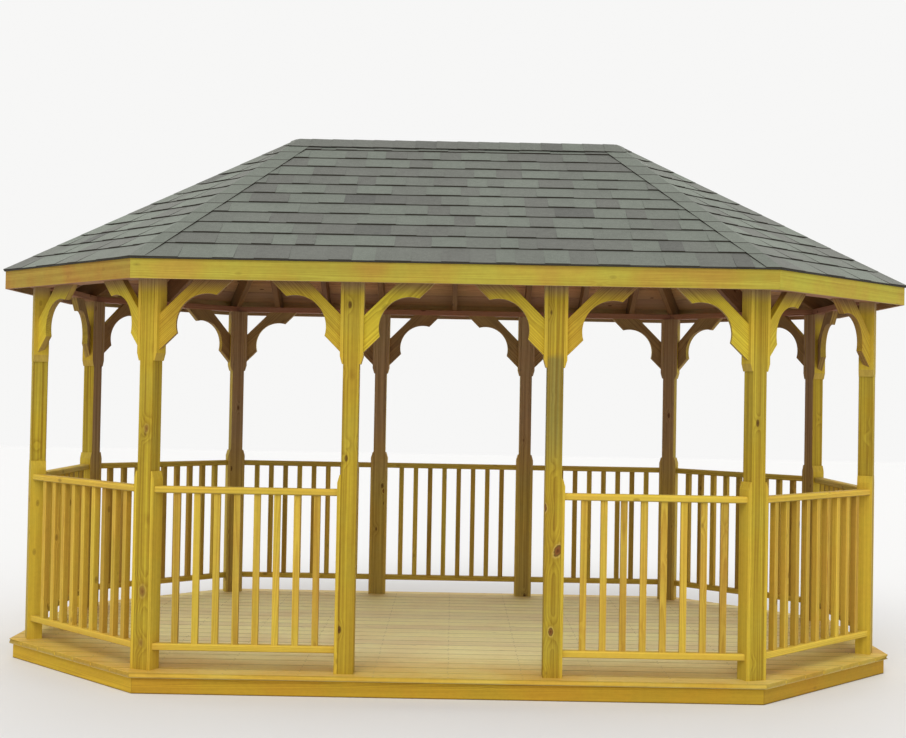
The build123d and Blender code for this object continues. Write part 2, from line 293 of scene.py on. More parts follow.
def rectangle(width: float, height: float, middle: Sequence[float] = (0.0, 0.0)) -> Array:
    """Four corners of a rectangle round a middle point."""
    unit = np.array([(-0.5, -0.5), (0.5, -0.5), (0.5, 0.5), (-0.5, 0.5)])
    return unit * (width, height) + np.asarray(middle)


def square(place: float) -> Cut:
    """A square cut at one place along a board."""
    return lambda a, b: place + 0 * a


def mitres(hip: Cut, gap: float = 0.0) -> tuple[Cut, Cut]:
    """Both cuts of a board that runs from hip to hip and ends a gap short of each."""
    return (lambda a, b: gap - hip(a, b)), (lambda a, b: hip(a, b) - gap)


def sweep(section: Array | Outline, low: Cut, high: Cut, ease: float = 0.0012) -> Array:
    """One board: its outline (a, b) carried along s from one cut to the other.

    A point is s = (1-t) low(a, b) + t high(a, b), so a cut that depends on a or b is a mitre. The end
    rings are drawn in by the ease towards the outline's middle, which takes the sharpness off the ends.

    Args:
        section: outline of the section.
        low: the low cut, as a function of a and b.
        high: the high cut.
        ease: chamfer round the sawn ends.

    Returns:
        Array of rings by outline points, with (s, a, b) in the last axis.
    """
    outline = section.points if isinstance(section, Outline) else section
    lowest, highest = outline.min(0), outline.max(0)
    middle, half = (lowest + highest) / 2, (highest - lowest) / 2
    small = middle + (outline - middle) * (1 - ease / half)
    ends = [(low(*small.T), small), (low(*outline.T) + ease, outline),
            (high(*outline.T) - ease, outline), (high(*small.T), small)]
    return np.stack([np.column_stack([place, ring]) for place, ring in ends])


def grain_of(local: Array, rng: np.random.Generator, spread: float = 0.035, askew: float = 0.011,
             depth: Range = (0.015, 0.075), log_length: float = 9.0) -> Array:
    """Grain coordinates of one board: where it lay in its log.

    The middle of the section goes to a place beside the log's heart, and the heart runs a little askew, so
    that the flats show arches and the edges show lines.

    Args:
        local: points as (along, across, through).
        rng: source of the board's place in the log.
        spread: how far sideways the heart may lie.
        askew: how much the heart drifts for each metre.
        depth: how far below or above the board the heart may lie.
        log_length: length over which places along the log are spread.

    Returns:
        Points as (along the log, and two distances from its heart).
    """
    flat = local.reshape(-1, 3)
    centred = local - np.array([0.0, *(flat[:, 1:].min(0) + flat[:, 1:].max(0)) / 2])
    tilt = rng.normal(0, askew, 2)
    heart = np.array([rng.uniform(-spread, spread), rng.uniform(*depth) * rng.choice([-1, 1])])
    result = centred.copy()
    result[..., 0] += rng.uniform(0, log_length)
    result[..., 1:] += heart + centred[..., :1] * tilt
    return result


class Shells:
    """Closed shells gathered as arrays and made one mesh."""

    def __init__(self) -> None:
        """Start with nothing."""
        self.points: list[Array] = []
        self.grain: list[Array] = []
        self.tone: list[Array] = []
        self.edge: list[Array] = []
        self.corners: list[Array] = []
        self.sizes: list[Array] = []
        self.count = 0

    def add(self, grid: Array, grain: Array, tone: float, section: Outline | None = None) -> None:
        """Add one shell: rings of points joined by quads, closed by its first and last ring.

        Six times the enclosed volume is the sum of the triple products of the faces' corners about the
        shell's middle. Where it is negative, all faces are turned round.

        Args:
            grid: rings by points, with x, y and z in the last axis.
            grain: grain coordinates, of the same shape.
            tone: shade of the whole shell, from 0 to 1.
            section: its section, for the weight of its edges. The sawn ends count as edges.
        """
        rings, ring = grid.shape[:2]
        index = np.arange(rings * ring).reshape(rings, ring)
        near, far = index[:-1], index[1:]
        quads = np.stack([near, np.roll(near, -1, 1), np.roll(far, -1, 1), far], -1).reshape(-1, 4)
        caps = [index[0, ::-1], index[-1]]
        flat = grid.reshape(-1, 3)
        centred = flat - flat.mean(0)
        q = centred[quads]
        volume = np.einsum("ij,ij", np.cross(q[:, 0], q[:, 1]), q[:, 2])
        volume += np.einsum("ij,ij", np.cross(q[:, 0], q[:, 2]), q[:, 3])
        for cap in caps:
            c = centred[cap]
            volume += np.einsum("ij,ij", np.cross(c[:1], c[1:-1]), c[2:])
        if volume < 0:
            quads, caps = quads[:, ::-1], [cap[::-1] for cap in caps]
        self.points.append(flat)
        self.grain.append(grain.reshape(-1, 3))
        self.tone.append(np.full(len(flat), tone))
        edge = np.zeros((rings, ring))
        if section:
            edge[:] = section.edge
            edge[0] = edge[-1] = 1.0
        self.edge.append(edge.ravel())
        self.corners += [quads.reshape(-1) + self.count, caps[0] + self.count, caps[1] + self.count]
        self.sizes += [np.full(len(quads), 4), np.array([ring, ring])]
        self.count += len(flat)

    def piece(self, name: str, finish: bpy.types.Material, slot: str, replaces: Sequence[str] = (),
              smooth: bool = True) -> None:
        """Make the mesh and its object, hang it on the root body, and hide the solids that it stands for.

        Args:
            name: name of the piece.
            finish: its material.
            slot: the record's material slot; not used.
            replaces: solids that it stands for.
            smooth: shade rounded edges smooth, with sharper ones kept.
        """
        mesh = bpy.data.meshes.new(name)
        corners, sizes = np.concatenate(self.corners), np.concatenate(self.sizes)
        mesh.vertices.add(self.count)
        mesh.vertices.foreach_set("co", np.concatenate(self.points).astype(np.float32).ravel())
        mesh.loops.add(len(corners))
        mesh.loops.foreach_set("vertex_index", corners.astype(np.int32))
        mesh.polygons.add(len(sizes))
        mesh.polygons.foreach_set("loop_start", (np.cumsum(sizes) - sizes).astype(np.int32))
        mesh.polygons.foreach_set("loop_total", sizes.astype(np.int32))
        mesh.polygons.foreach_set("use_smooth", np.full(len(sizes), smooth))
        mesh.update(calc_edges=True)
        grain = mesh.attributes.new("grain", "FLOAT_VECTOR", "POINT")
        grain.data.foreach_set("vector", np.concatenate(self.grain).astype(np.float32).ravel())
        for key, values in (("tone", self.tone), ("edge", self.edge)):
            attribute = mesh.attributes.new(key, "FLOAT", "POINT")
            attribute.data.foreach_set("value", np.concatenate(values).astype(np.float32))
        if smooth:
            mesh.set_sharp_from_angle(angle=SHARP_EDGE)
        mesh.materials.append(finish)
        piece = bpy.data.objects.new(name, mesh)
        bpy.context.scene.collection.objects.link(piece)
        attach(piece, "root")
        if replaces:
            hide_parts(*replaces)
        log.info("%s: %d faces", name, len(sizes))


# Shader nodes

class Graph:
    """A node tree with short calls for its nodes and links."""

    def __init__(self, tree: bpy.types.NodeTree) -> None:
        """Work on one tree."""
        self.tree = tree

    def node(self, kind: str, inputs: dict | None = None, **settings: object) -> bpy.types.Node:
        """Add a node.

        Args:
            kind: the node's type name without its prefix.
            inputs: values or sockets for its inputs, by name or number.
            settings: other properties of the node.

        Returns:
            The new node.
        """
        node = self.tree.nodes.new("ShaderNode" + kind)
        for key, value in settings.items():
            setattr(node, key, value)
        for key, value in (inputs or {}).items():
            if isinstance(value, bpy.types.NodeSocket):
                self.tree.links.new(value, node.inputs[key])
            else:
                node.inputs[key].default_value = value
        return node

    def feed(self, node: bpy.types.Node, sockets: dict[str, Socket]) -> None:
        """Link sockets to a node's inputs, by name."""
        for key, socket in sockets.items():
            self.tree.links.new(socket, node.inputs[key])

    def math(self, operation: str, a: Socket | float, b: Socket | float = 0.0,
             clamp: bool = False) -> Socket:
        """One sum on two numbers."""
        return self.node("Math", {0: a, 1: b}, operation=operation, use_clamp=clamp).outputs[0]

    def scaled(self, value: Socket, factor: float, offset: Socket | float) -> Socket:
        """Value * factor + offset."""
        return self.math("ADD", self.math("MULTIPLY", value, factor), offset)

    def swayed(self, value: Socket, mask: Socket, amount: float) -> Socket:
        """Value + (mask - a half) * amount."""
        return self.math("ADD", value, self.math("MULTIPLY", self.math("SUBTRACT", mask, 0.5), amount))

    def step(self, value: Socket, low: float, high: float, start: float = 0.0, end: float = 1.0) -> Socket:
        """A smooth step from start to end while the value goes from low to high."""
        inputs = {"Value": value, "From Min": low, "From Max": high, "To Min": start, "To Max": end}
        return self.node("MapRange", inputs, interpolation_type="SMOOTHSTEP").outputs["Result"]

    def vector(self, operation: str, a: Socket | Vector, b: Socket | Vector) -> Socket:
        """One sum on two vectors."""
        return self.node("VectorMath", {0: a, 1: b}, operation=operation).outputs[0]

    def length(self, vector: Socket) -> Socket:
        """Length of a vector."""
        return self.node("VectorMath", {0: vector}, operation="LENGTH").outputs["Value"]

    def parts(self, vector: Socket) -> Sequence[Socket]:
        """The x, y and z of a vector."""
        return self.node("SeparateXYZ", {0: vector}).outputs

    def attribute(self, name: str, output: str = "Fac") -> Socket:
        """An attribute of the mesh."""
        return self.node("Attribute", attribute_name=name).outputs[output]

    def mix(self, factor: Socket | float, a: Socket | Colour, b: Socket | Colour) -> Socket:
        """A mix of two colours."""
        return self.node("Mix", {0: factor, 6: a, 7: b}, data_type="RGBA").outputs[2]

    def noise(self, vector: Socket, size: Vector, detail: float = 2.0, roughness: float = 0.5,
              output: str | int = 0) -> Socket:
        """Noise on a vector times its size."""
        inputs = {"Vector": self.vector("MULTIPLY", vector, size), "Scale": 1.0, "Detail": detail,
                  "Roughness": roughness}
        return self.node("TexNoise", inputs).outputs[output]

    def wander(self, vector: Socket, size: Vector, reach: Vector) -> Socket:
        """A vector that wanders about zero: (coloured noise - a half) * reach."""
        noise = self.noise(vector, size, output="Color")
        return self.vector("MULTIPLY", self.vector("SUBTRACT", noise, (0.5, 0.5, 0.5)), reach)

    def bump(self, strength: float, distance: float, height: Socket) -> Socket:
        """Normals bent by a height."""
        inputs = {"Strength": strength, "Distance": distance, "Height": height}
        return self.node("Bump", inputs).outputs[0]

    def group(self, tree: bpy.types.NodeTree, inputs: dict) -> Sequence[Socket]:
        """Place a node group, and give its outputs."""
        return self.node("Group", inputs, node_tree=tree).outputs


def new_group(name: str, inputs: dict[str, str],
              outputs: Sequence[str]) -> tuple[Graph, dict, bpy.types.Node]:
    """Start a node group with named sockets.

    Args:
        name: name of the group.
        inputs: socket type of each input, by name.
        outputs: names of the outputs, all plain numbers.

    Returns:
        The group's graph, its input sockets by name, and its output node.
    """
    tree = bpy.data.node_groups.new(name, "ShaderNodeTree")
    for key, kind in inputs.items():
        tree.interface.new_socket(name=key, in_out="INPUT", socket_type="NodeSocket" + kind)
    for key in outputs:
        tree.interface.new_socket(name=key, in_out="OUTPUT", socket_type="NodeSocketFloat")
    entry, leave = tree.nodes.new("NodeGroupInput"), tree.nodes.new("NodeGroupOutput")
    return Graph(tree), {key: entry.outputs[key] for key in inputs}, leave


def new_material(name: str) -> tuple[bpy.types.Material, Graph, bpy.types.Node]:
    """Start a material.

    Args:
        name: its name.

    Returns:
        The material, its graph and its Principled shader.
    """
    material = bpy.data.materials.new(name)
    material.use_nodes = True
    return material, Graph(material.node_tree), material.node_tree.nodes["Principled BSDF"]


@dataclass(frozen=True)
class TimberFigure:
    """The figure of sawn softwood. Sizes are in cycles a metre, along the grain and twice across it."""

    wobble_size: Vector = (1.1, 11.0, 11.0)
    wobble_reach: Vector = (0.0, 0.012, 0.012)
    knot_cells: Vector = (4.6, 9.0, 9.0)
    knot_rim: Range = (0.075, 0.115)
    core_rim: Range = (0.0, 0.06)
    push_range: Range = (0.02, 0.32)
    push: float = 0.013
    ring_rise: float = 1.6
    ring_fall: Range = (0.78, 1.0)
    fibre_size: Vector = (7.0, 520.0, 520.0)
    drift_size: Vector = (0.8, 62.0, 62.0)
    drift_range: Range = (0.3, 0.7)
    core_share: float = 0.25
    fibre_relief: float = 0.6
    ring_relief: float = 0.5
    knot_relief: float = 0.6

    def group(self) -> bpy.types.NodeTree:
        """Node group for growth rings round the heart, fibres, slow drift and knots.

        The rings are the fractional part of (wobbled distance from the heart / ring spacing), pushed
        outwards near a knot, with a slow rise to the dark late wood and a quick fall. Knots are the middles
        of stretched cells. The bend pushes the rings further.

        Returns:
            The node group.
        """
        sockets = {"Grain": "Vector", "Spacing": "Float", "Knots": "Float", "Bend": "Float"}
        outputs = ["Rings", "Fibre", "Drift", "Knot", "Height"]
        g, inputs, leave = new_group("Timber figure", sockets, outputs)
        grain = inputs["Grain"]
        wobbled = g.vector("ADD", grain, g.wander(grain, self.wobble_size, self.wobble_reach))
        across = g.vector("MULTIPLY", wobbled, (0.0, 1.0, 1.0))
        cells = {"Vector": g.vector("MULTIPLY", grain, self.knot_cells), "Scale": 1.0}
        gap = g.node("TexVoronoi", cells, voronoi_dimensions="3D", feature="F1").outputs["Distance"]
        knot = g.math("MULTIPLY", g.step(gap, *self.knot_rim, 1.0, 0.0), inputs["Knots"])
        push = g.math("MULTIPLY", g.step(gap, *self.push_range, self.push, 0.0), inputs["Knots"])
        distance = g.math("ADD", g.length(across), g.math("ADD", push, inputs["Bend"]))
        phase = g.math("FRACT", g.math("DIVIDE", distance, inputs["Spacing"]))
        fall = g.step(phase, *self.ring_fall, 1.0, 0.0)
        rings = g.math("MULTIPLY", g.math("POWER", phase, self.ring_rise), fall)
        fibre = g.noise(grain, self.fibre_size, 2.0, 0.6)
        drift = g.noise(grain, self.drift_size, 3.0, 0.55)
        core = g.step(gap, *self.core_rim, 1.0, 0.0)
        height = g.math("SUBTRACT", g.math("MULTIPLY", fibre, self.fibre_relief),
                        g.math("MULTIPLY", rings, self.ring_relief))
        core = g.math("MULTIPLY", core, self.core_share)
        g.feed(leave, {"Rings": rings, "Fibre": fibre, "Drift": g.step(drift, *self.drift_range),
                       "Knot": g.scaled(knot, 1 - self.core_share, core),
                       "Height": g.scaled(knot, self.knot_relief, height)})
        return g.tree


@dataclass(frozen=True)
class PaintedShadeMask:
    """How much painted shade a surface takes. Reaches are from the rail line, and head heights from the
    plates.
    """

    turn_range: Range = (-0.95, 0.15)
    low_heights: Range = (0.8, 1.5)
    low_share: float = 0.40
    rim_heights: Range = (0.3, 0.6)
    rim_share: float = 0.12
    back_range: Range = (0.0, 1.0)
    back_reach: float = 0.35
    inside_reach: Range = (-0.75, 0.08)
    eave_shade_reach: Range = (-0.10, 0.15)
    head_shade_heights: Range = (-0.096, 0.004)

    def group(self) -> bpy.types.NodeTree:
        """Node group for painted shade: 0 where a surface keeps its lit colours, 1 under the roof.

        A plumb face takes painted shade by how far it turns from the direction away from the ridge, less so
        below the rails, where light reaches in under the eaves. An underside always does, and a top by how
        far it lies inside the rail line, more so at the back. Eaves, painted shade that darkens, rises from
        0 to 1 over the plates, towards the fascia, and Head, painted shade at the heads of posts and
        braces, rises just under the plates.

        Returns:
            The node group.
        """
        sockets = {"Position": "Vector", "Normal": "Vector"}
        g, inputs, leave = new_group("Painted shade", sockets, ["Painted shade", "Eaves", "Head"])
        x, y, z = g.parts(inputs["Position"])
        past = g.math("MAXIMUM", g.math("SUBTRACT", g.math("ABSOLUTE", x), PLAN.ridge_half), 0.0)
        depth = g.math("ABSOLUTE", y)
        diagonal = g.math("MULTIPLY", g.math("ADD", past, depth), math.sqrt(0.5))
        distance = g.math("MAXIMUM", g.math("MAXIMUM", past, depth), diagonal)
        outward = g.node("CombineXYZ", {0: g.math("MULTIPLY", past, g.math("SIGN", x)), 1: y}).outputs[0]
        outward = g.node("VectorMath", {0: outward}, operation="NORMALIZE").outputs[0]
        facing = {0: outward, 1: inputs["Normal"]}
        facing = g.node("VectorMath", facing, operation="DOT_PRODUCT").outputs["Value"]
        # Plumb faces: painted shade where they turn inwards, less below the rails, where light reaches in
        # under the eaves.
        turned = g.step(facing, *self.turn_range, 1.0, 0.0)
        turned = g.math("MULTIPLY", turned, g.step(z, *self.low_heights, self.low_share, 1.0))
        # Tops: painted shade inside the rail line, reaching further at the back; at the floor's rim only a
        # little.
        rim = g.step(z, *self.rim_heights, self.rim_share, 0.0)
        shifted_distance = g.math("SUBTRACT", distance, g.step(y, *self.back_range, 0.0, self.back_reach))
        inside = g.step(shifted_distance, *(PLAN.half_width + reach for reach in self.inside_reach), 1.0, rim)
        rising = g.parts(inputs["Normal"])[2]
        up = g.math("MAXIMUM", rising, 0.0)
        down = g.math("MAXIMUM", g.math("MULTIPLY", rising, -1.0), 0.0)
        level = g.math("ADD", g.math("MULTIPLY", up, inside), down)
        upright = g.math("SUBTRACT", 1.0, g.math("ADD", up, down))
        shade_mask = g.math("ADD", g.math("MULTIPLY", upright, turned), level, clamp=True)
        # Painted shade that darkens towards the fascia.
        eaves = g.step(distance, *(PLAN.half_width + reach for reach in self.eave_shade_reach))
        # Painted shade just under the plates, where the eaves shadow the heads of posts and braces.
        head = g.step(z, *(PLAN.plate_bottom + height for height in self.head_shade_heights))
        g.feed(leave, {"Painted shade": shade_mask, "Eaves": eaves, "Head": head})
        return g.tree


@dataclass(frozen=True)
class WeatherMask:
    """Broad blotches and a fine mottle over any outdoor surface."""

    blotch_size: float = 2.3
    blotch_range: Range = (0.32, 0.68)
    mottle_size: float = 38.0
    mottle_range: Range = (0.3, 0.7)

    def group(self) -> bpy.types.NodeTree:
        """Node group for both, from the position.

        Returns:
            The node group.
        """
        g, inputs, leave = new_group("Weather", {"Position": "Vector"}, ["Blotch", "Mottle"])
        blotch = g.noise(inputs["Position"], (self.blotch_size,) * 3, 3.0, 0.6)
        mottle = g.noise(inputs["Position"], (self.mottle_size,) * 3, 3.0, 0.6)
        g.feed(leave, {"Blotch": g.step(blotch, *self.blotch_range),
                       "Mottle": g.step(mottle, *self.mottle_range)})
        return g.tree


@dataclass(frozen=True)
class Granules:
    """Mineral granules: cells of about 1.5 mm, each with its own shade and height."""

    cells: float = 640.0

    def group(self) -> bpy.types.NodeTree:
        """Node group for the granules, from the position.

        Returns:
            The node group.
        """
        g, inputs, leave = new_group("Granules", {"Position": "Vector"}, ["Shade", "Height"])
        cells = {"Vector": inputs["Position"], "Scale": self.cells}
        cells = g.node("TexVoronoi", cells, voronoi_dimensions="3D").outputs
        shade = g.node("SeparateColor", {0: cells["Color"]}).outputs[0]
        g.feed(leave, {"Shade": shade, "Height": g.math("SUBTRACT", shade, cells["Distance"])})
        return g.tree


class Groups:
    """The shared node groups, each built once."""

    def __init__(self) -> None:
        """Build all of them."""
        self.figure = TimberFigure().group()
        self.shade_mask = PaintedShadeMask().group()
        self.weather = WeatherMask().group()
        self.granules = Granules().group()


# Finishes

def srgb(red: int, green: int, blue: int) -> Colour:
    """A linear colour from screen values of 0 to 255: ((v + 0.055) / 1.055) ^ 2.4."""
    return (*(((v / 255 + 0.055) / 1.055) ** 2.4 for v in (red, green, blue)), 1.0)


class GrainRuns(Enum):
    """Which way the grain runs in a solid."""

    UPRIGHT = "plumb"
    LEVEL = "along x"


@dataclass(frozen=True)
class SetKnot:
    """A knot at a set place: its centre, half its width, its lean from plumb and how plain it is."""

    x: float
    y: float
    z: float
    half: float
    lean: float = 0.0
    strength: float = 1.0


@dataclass(frozen=True)
class DullHeight:
    """A height at which a solid is duller: it comes in from low to full and goes from fade to top."""

    low: float
    full: float
    fade: float
    top: float
    strength: float = 0.85
    ragged: float = 0.12
    streaks: Range = (0.1, 0.9)
    least: float = 0.7


@dataclass(frozen=True)
class SolidLook:
    """How a solid was cut from its log, with its heart's place and its shade, and the marks on it."""

    label: str
    runs: GrainRuns
    heart: tuple[float, float]
    tone: float
    knots: Sequence[SetKnot] = ()
    worn: DullHeight | None = None


@dataclass(frozen=True)
class TimberFinish:
    """Softwood in golden lit colours, with a shaded copy of them mixed in under the roof: painted shade."""

    name: str
    early: Colour
    late: Colour
    # shade_early and shade_late are the shaded copy of the timber's colours: painted shade.
    shade_early: Colour
    shade_late: Colour
    knot: Colour = srgb(74, 40, 16)
    knot_heart: Colour = srgb(136, 84, 38)
    knot_halo: Colour = srgb(214, 184, 96)
    dull: Colour = srgb(139, 130, 66)
    dull_late: Colour = srgb(92, 82, 38)
    spacing: float = 0.0062
    rings: float = 0.62
    drift: float = 0.42
    drift_share: float = 0.6
    knots: float = 1.0
    bump: float = 0.35
    bump_distance: float = 0.0008
    # Positive values paint a highlight on eased edges; negative ones darken the edges, painted shade in the
    # floor's seams and under the nosing.
    painted_edge_light: float = 0.10
    variety: float = 0.24
    fibres: float = 0.30
    mottle: float = 0.06
    blotches: float = 0.16
    # Painted shade: a darkening towards the eaves, and the shaded copy at the heads under the plates.
    painted_eave_shade: float = 0.0
    painted_head_shade: float = 0.0
    hues: float = 0.016
    blotch_hues: float = 0.8
    roughness: float = 0.55
    rough_share: float = 0.25
    gloss: float = 0.14
    log_stride: float = 7.0
    knot_stretch: Vector = (1.0, 2.5, 1.7)
    rag_size: float = 70.0
    rag: float = 0.45
    bend: float = 0.014
    bend_range: Range = (0.6, 4.5)

    def grain(self, g: Graph, position: Socket, look: SolidLook | None) -> tuple[Socket, Any, Any]:
        """Where the figure is read: from a board's attributes, or from a solid's place in its log.

        Args:
            g: the material's graph.
            position: the object's coordinates.
            look: how the solid was cut, or nothing for boards.

        Returns:
            Grain coordinates, shade and weight of the edges.
        """
        if look is None:
            return g.attribute("grain", "Vector"), g.attribute("tone"), g.attribute("edge")
        first, second = look.heart
        along = look.tone * self.log_stride
        turned, moved = (0.0, 0.0, 0.0), (along, first, second)
        if look.runs is GrainRuns.UPRIGHT:
            turned, moved = (0.0, math.pi / 2, 0.0), (along, -second, first)
        inputs = {"Vector": position, "Rotation": turned, "Location": moved}
        return g.node("Mapping", inputs, vector_type="POINT").outputs[0], look.tone, 0.0

    def away(self, g: Graph, position: Socket, knot: SetKnot) -> Socket:
        """Distance from a set knot in its own half widths, with a ragged rim.

        Args:
            g: the material's graph.
            position: the object's coordinates.
            knot: the knot.

        Returns:
            The distance: 1 at the knot's rim.
        """
        inputs = {"Vector": position, "Location": (knot.x, knot.y, knot.z),
                  "Rotation": (0.0, knot.lean, 0.0),
                  "Scale": tuple(knot.half * stretch for stretch in self.knot_stretch)}
        away = g.node("Mapping", inputs, vector_type="TEXTURE").outputs[0]
        return g.length(g.vector("ADD", away, g.wander(position, (self.rag_size,) * 3, (self.rag,) * 3)))

    def dulled(self, g: Graph, sunny: Socket, dark: Socket, look: DullHeight,
               masks: Sequence[Socket]) -> Socket:
        """The sunny colour with a duller height: the mask is the product of the steps in and out.

        Args:
            g: the material's graph.
            sunny: the colour without it.
            dark: share of late wood.
            look: where the solid is duller.
            masks: height above the ground, blotches and drift.

        Returns:
            The colour with it.
        """
        z, blotch, drift = masks
        height = g.math("ADD", z, g.math("MULTIPLY", blotch, look.ragged))
        fades = g.step(height, look.fade, look.top, 1.0, 0.0)
        mask = g.math("MULTIPLY", g.step(height, look.low, look.full), fades)
        streaks = g.step(drift, *look.streaks, look.strength, look.least * look.strength)
        mask = g.math("MULTIPLY", mask, streaks)
        return g.mix(mask, sunny, g.mix(dark, self.dull, self.dull_late))

    def knotted(self, g: Graph, colour: Socket, away: Socket, strength: float) -> Socket:
        """The colour with one set knot: late wood and a pale halo round it, a dark rim and a brown heart.

        Each ring has its near and far rim in half widths, its share and its colour, the outermost first.

        Args:
            g: the material's graph.
            colour: the colour without it.
            away: distance from it in half widths.
            strength: how plain it is.

        Returns:
            The colour with it.
        """
        rings = ((1.10, 2.60, 0.30, self.late), (0.95, 1.45, 0.50 * strength, self.knot_halo),
                 (0.80, 1.05, 0.80 * strength, self.knot), (0.45, 0.80, 0.85 * strength, self.knot_heart),
                 (0.10, 0.50, 0.65 * strength, self.knot))
        for near, far, share, tint in rings:
            colour = g.mix(g.step(away, near, far, share, 0.0), colour, tint)
        return colour

    def material(self, groups: Groups, look: SolidLook | None = None) -> bpy.types.Material:
        """The material for boards or for one solid.

        Args:
            groups: the shared node groups.
            look: how the solid was cut and marked, or nothing for boards.

        Returns:
            The material.
        """
        material, g, shader = new_material(f"{self.name} {look.label}" if look else self.name)
        position = g.node("TexCoord").outputs["Object"]
        normal = g.node("NewGeometry").outputs["Normal"]
        grain, shade, edge = self.grain(g, position, look)
        knots = [(self.away(g, position, knot), knot.strength) for knot in (look.knots if look else ())]
        bend = 0.0
        for away, _ in knots:
            bend = g.math("ADD", bend, g.step(away, *self.bend_range, self.bend, 0.0))
        inputs = {"Grain": grain, "Spacing": self.spacing, "Knots": self.knots, "Bend": bend}
        figure = g.group(groups.figure, inputs)
        shade_mask = g.group(groups.shade_mask, {"Position": position, "Normal": normal})
        weather = g.group(groups.weather, {"Position": position})
        fibre, drift, blotch = figure["Fibre"], figure["Drift"], weather["Blotch"]
        ring = g.math("MULTIPLY", figure["Rings"], self.rings)
        streak = g.math("MULTIPLY", g.math("MULTIPLY", drift, self.drift), self.drift_share)
        dark = g.math("ADD", ring, streak, clamp=True)
        sunny = g.mix(dark, self.early, self.late)
        if look and look.worn:
            sunny = self.dulled(g, sunny, dark, look.worn, (g.parts(position)[2], blotch, drift))
        # Painted shade: the shaded copy of the colours.
        shady = g.mix(dark, self.shade_early, self.shade_late)
        wander = g.math("SUBTRACT", g.math("MULTIPLY", blotch, self.blotches), self.blotches / 2)
        # Share of painted shade: the mask, varied by blotches.
        shade_share = g.math("ADD", shade_mask["Painted shade"], wander, clamp=True)
        # At the heads under the plates, more painted shade.
        if self.painted_head_shade:
            shade_share = g.math("MAXIMUM", shade_share, g.math("MULTIPLY", shade_mask["Head"], self.painted_head_shade))
        colour = g.mix(figure["Knot"], g.mix(shade_share, sunny, shady), self.knot)
        for away, strength in knots:
            colour = self.knotted(g, colour, away, strength)
        value = g.scaled(shade, self.variety, 1.0 - self.variety / 2)
        value = g.swayed(value, fibre, self.fibres)
        value = g.swayed(value, weather["Mottle"], self.mottle)
        # Painted highlight on eased edges, painted shade where the weight is negative.
        value = g.math("ADD", value, g.math("MULTIPLY", edge, self.painted_edge_light))
        # Painted shade: darker towards the eaves.
        lit = g.math("SUBTRACT", 1.0, g.math("MULTIPLY", shade_mask["Eaves"], self.painted_eave_shade))
        value = g.math("MULTIPLY", value, lit)
        turn = g.math("ADD", shade, g.math("MULTIPLY", blotch, self.blotch_hues))
        hue = g.scaled(turn, self.hues, 0.5 - (1 + self.blotch_hues) / 2 * self.hues)
        colour = g.node("HueSaturation", {"Hue": hue, "Value": value, "Color": colour}).outputs[0]
        g.feed(shader, {"Base Color": colour,
                        "Roughness": g.scaled(fibre, self.rough_share, self.roughness),
                        "Normal": g.bump(self.bump, self.bump_distance, figure["Height"])})
        shader.inputs["Specular IOR Level"].default_value = self.gloss
        return material


@dataclass(frozen=True)
class ShingleFinish:
    """Mineral shingles in blended greys, each tab with its own shade."""

    name: str = "Grey mineral shingles"
    green: Colour = srgb(119, 124, 115)
    purple: Colour = srgb(115, 116, 110)
    dark: Colour = srgb(101, 102, 98)
    edge: Colour = srgb(60, 57, 50)
    green_tones: Range = (0.25, 0.75)
    dark_tones: Range = (0.0, 0.2)
    variety: float = 0.16
    lowest: float = 0.90
    grit: float = 0.42
    mottle: float = 0.10
    blotches: float = 0.08
    sheen_range: Range = (0.02, 0.28)
    side_sheen: float = 0.28
    shadow_dirt_range: Range = (0.93, 1.0)
    shadow_and_dirt: float = 0.6
    steep: Range = (0.5, 0.72)
    bump: float = 0.5
    bump_distance: float = 0.0012
    roughness: float = 0.84
    rough_share: float = 0.12
    gloss: float = 0.15

    def material(self, groups: Groups) -> bpy.types.Material:
        """The material: it reads each tab's shade and how much of it shows.

        It is dark wherever a face is steeper than the roof, and darker against the next course: a painted
        shadow of the course above, with dirt. The faces that look sideways are painted lighter: a painted
        sheen.

        Args:
            groups: the shared node groups.

        Returns:
            The material.
        """
        material, g, shader = new_material(self.name)
        position = g.node("TexCoord").outputs["Object"]
        sideways, _, upward = g.parts(g.node("NewGeometry").outputs["Normal"])
        shown = g.parts(g.attribute("grain", "Vector"))[1]
        tone = g.attribute("tone")
        weather = g.group(groups.weather, {"Position": position})
        grit = g.group(groups.granules, {"Position": position})
        colour = g.mix(g.step(tone, *self.green_tones), self.purple, self.green)
        colour = g.mix(g.step(tone, *self.dark_tones, 1.0, 0.0), colour, self.dark)
        value = g.scaled(tone, self.variety, self.lowest)
        value = g.swayed(value, grit["Shade"], self.grit)
        value = g.swayed(value, weather["Mottle"], self.mottle)
        value = g.swayed(value, weather["Blotch"], self.blotches)
        # Painted sheen: faces that look sideways are made lighter.
        turned = g.math("ABSOLUTE", sideways)
        value = g.math("ADD", value, g.step(turned, *self.sheen_range, 0.0, self.side_sheen))
        colour = g.node("HueSaturation", {"Value": value, "Color": colour}).outputs[0]
        # Painted shadow of the course above, with dirt: darker towards the next course's butt.
        colour = g.mix(g.step(shown, *self.shadow_dirt_range, 0.0, self.shadow_and_dirt), colour, self.edge)
        colour = g.mix(g.step(upward, *self.steep, 1.0, 0.0), colour, self.edge)
        g.feed(shader, {"Base Color": colour,
                        "Roughness": g.scaled(grit["Shade"], self.rough_share, self.roughness),
                        "Normal": g.bump(self.bump, self.bump_distance, grit["Height"])})
        shader.inputs["Specular IOR Level"].default_value = self.gloss
        return material


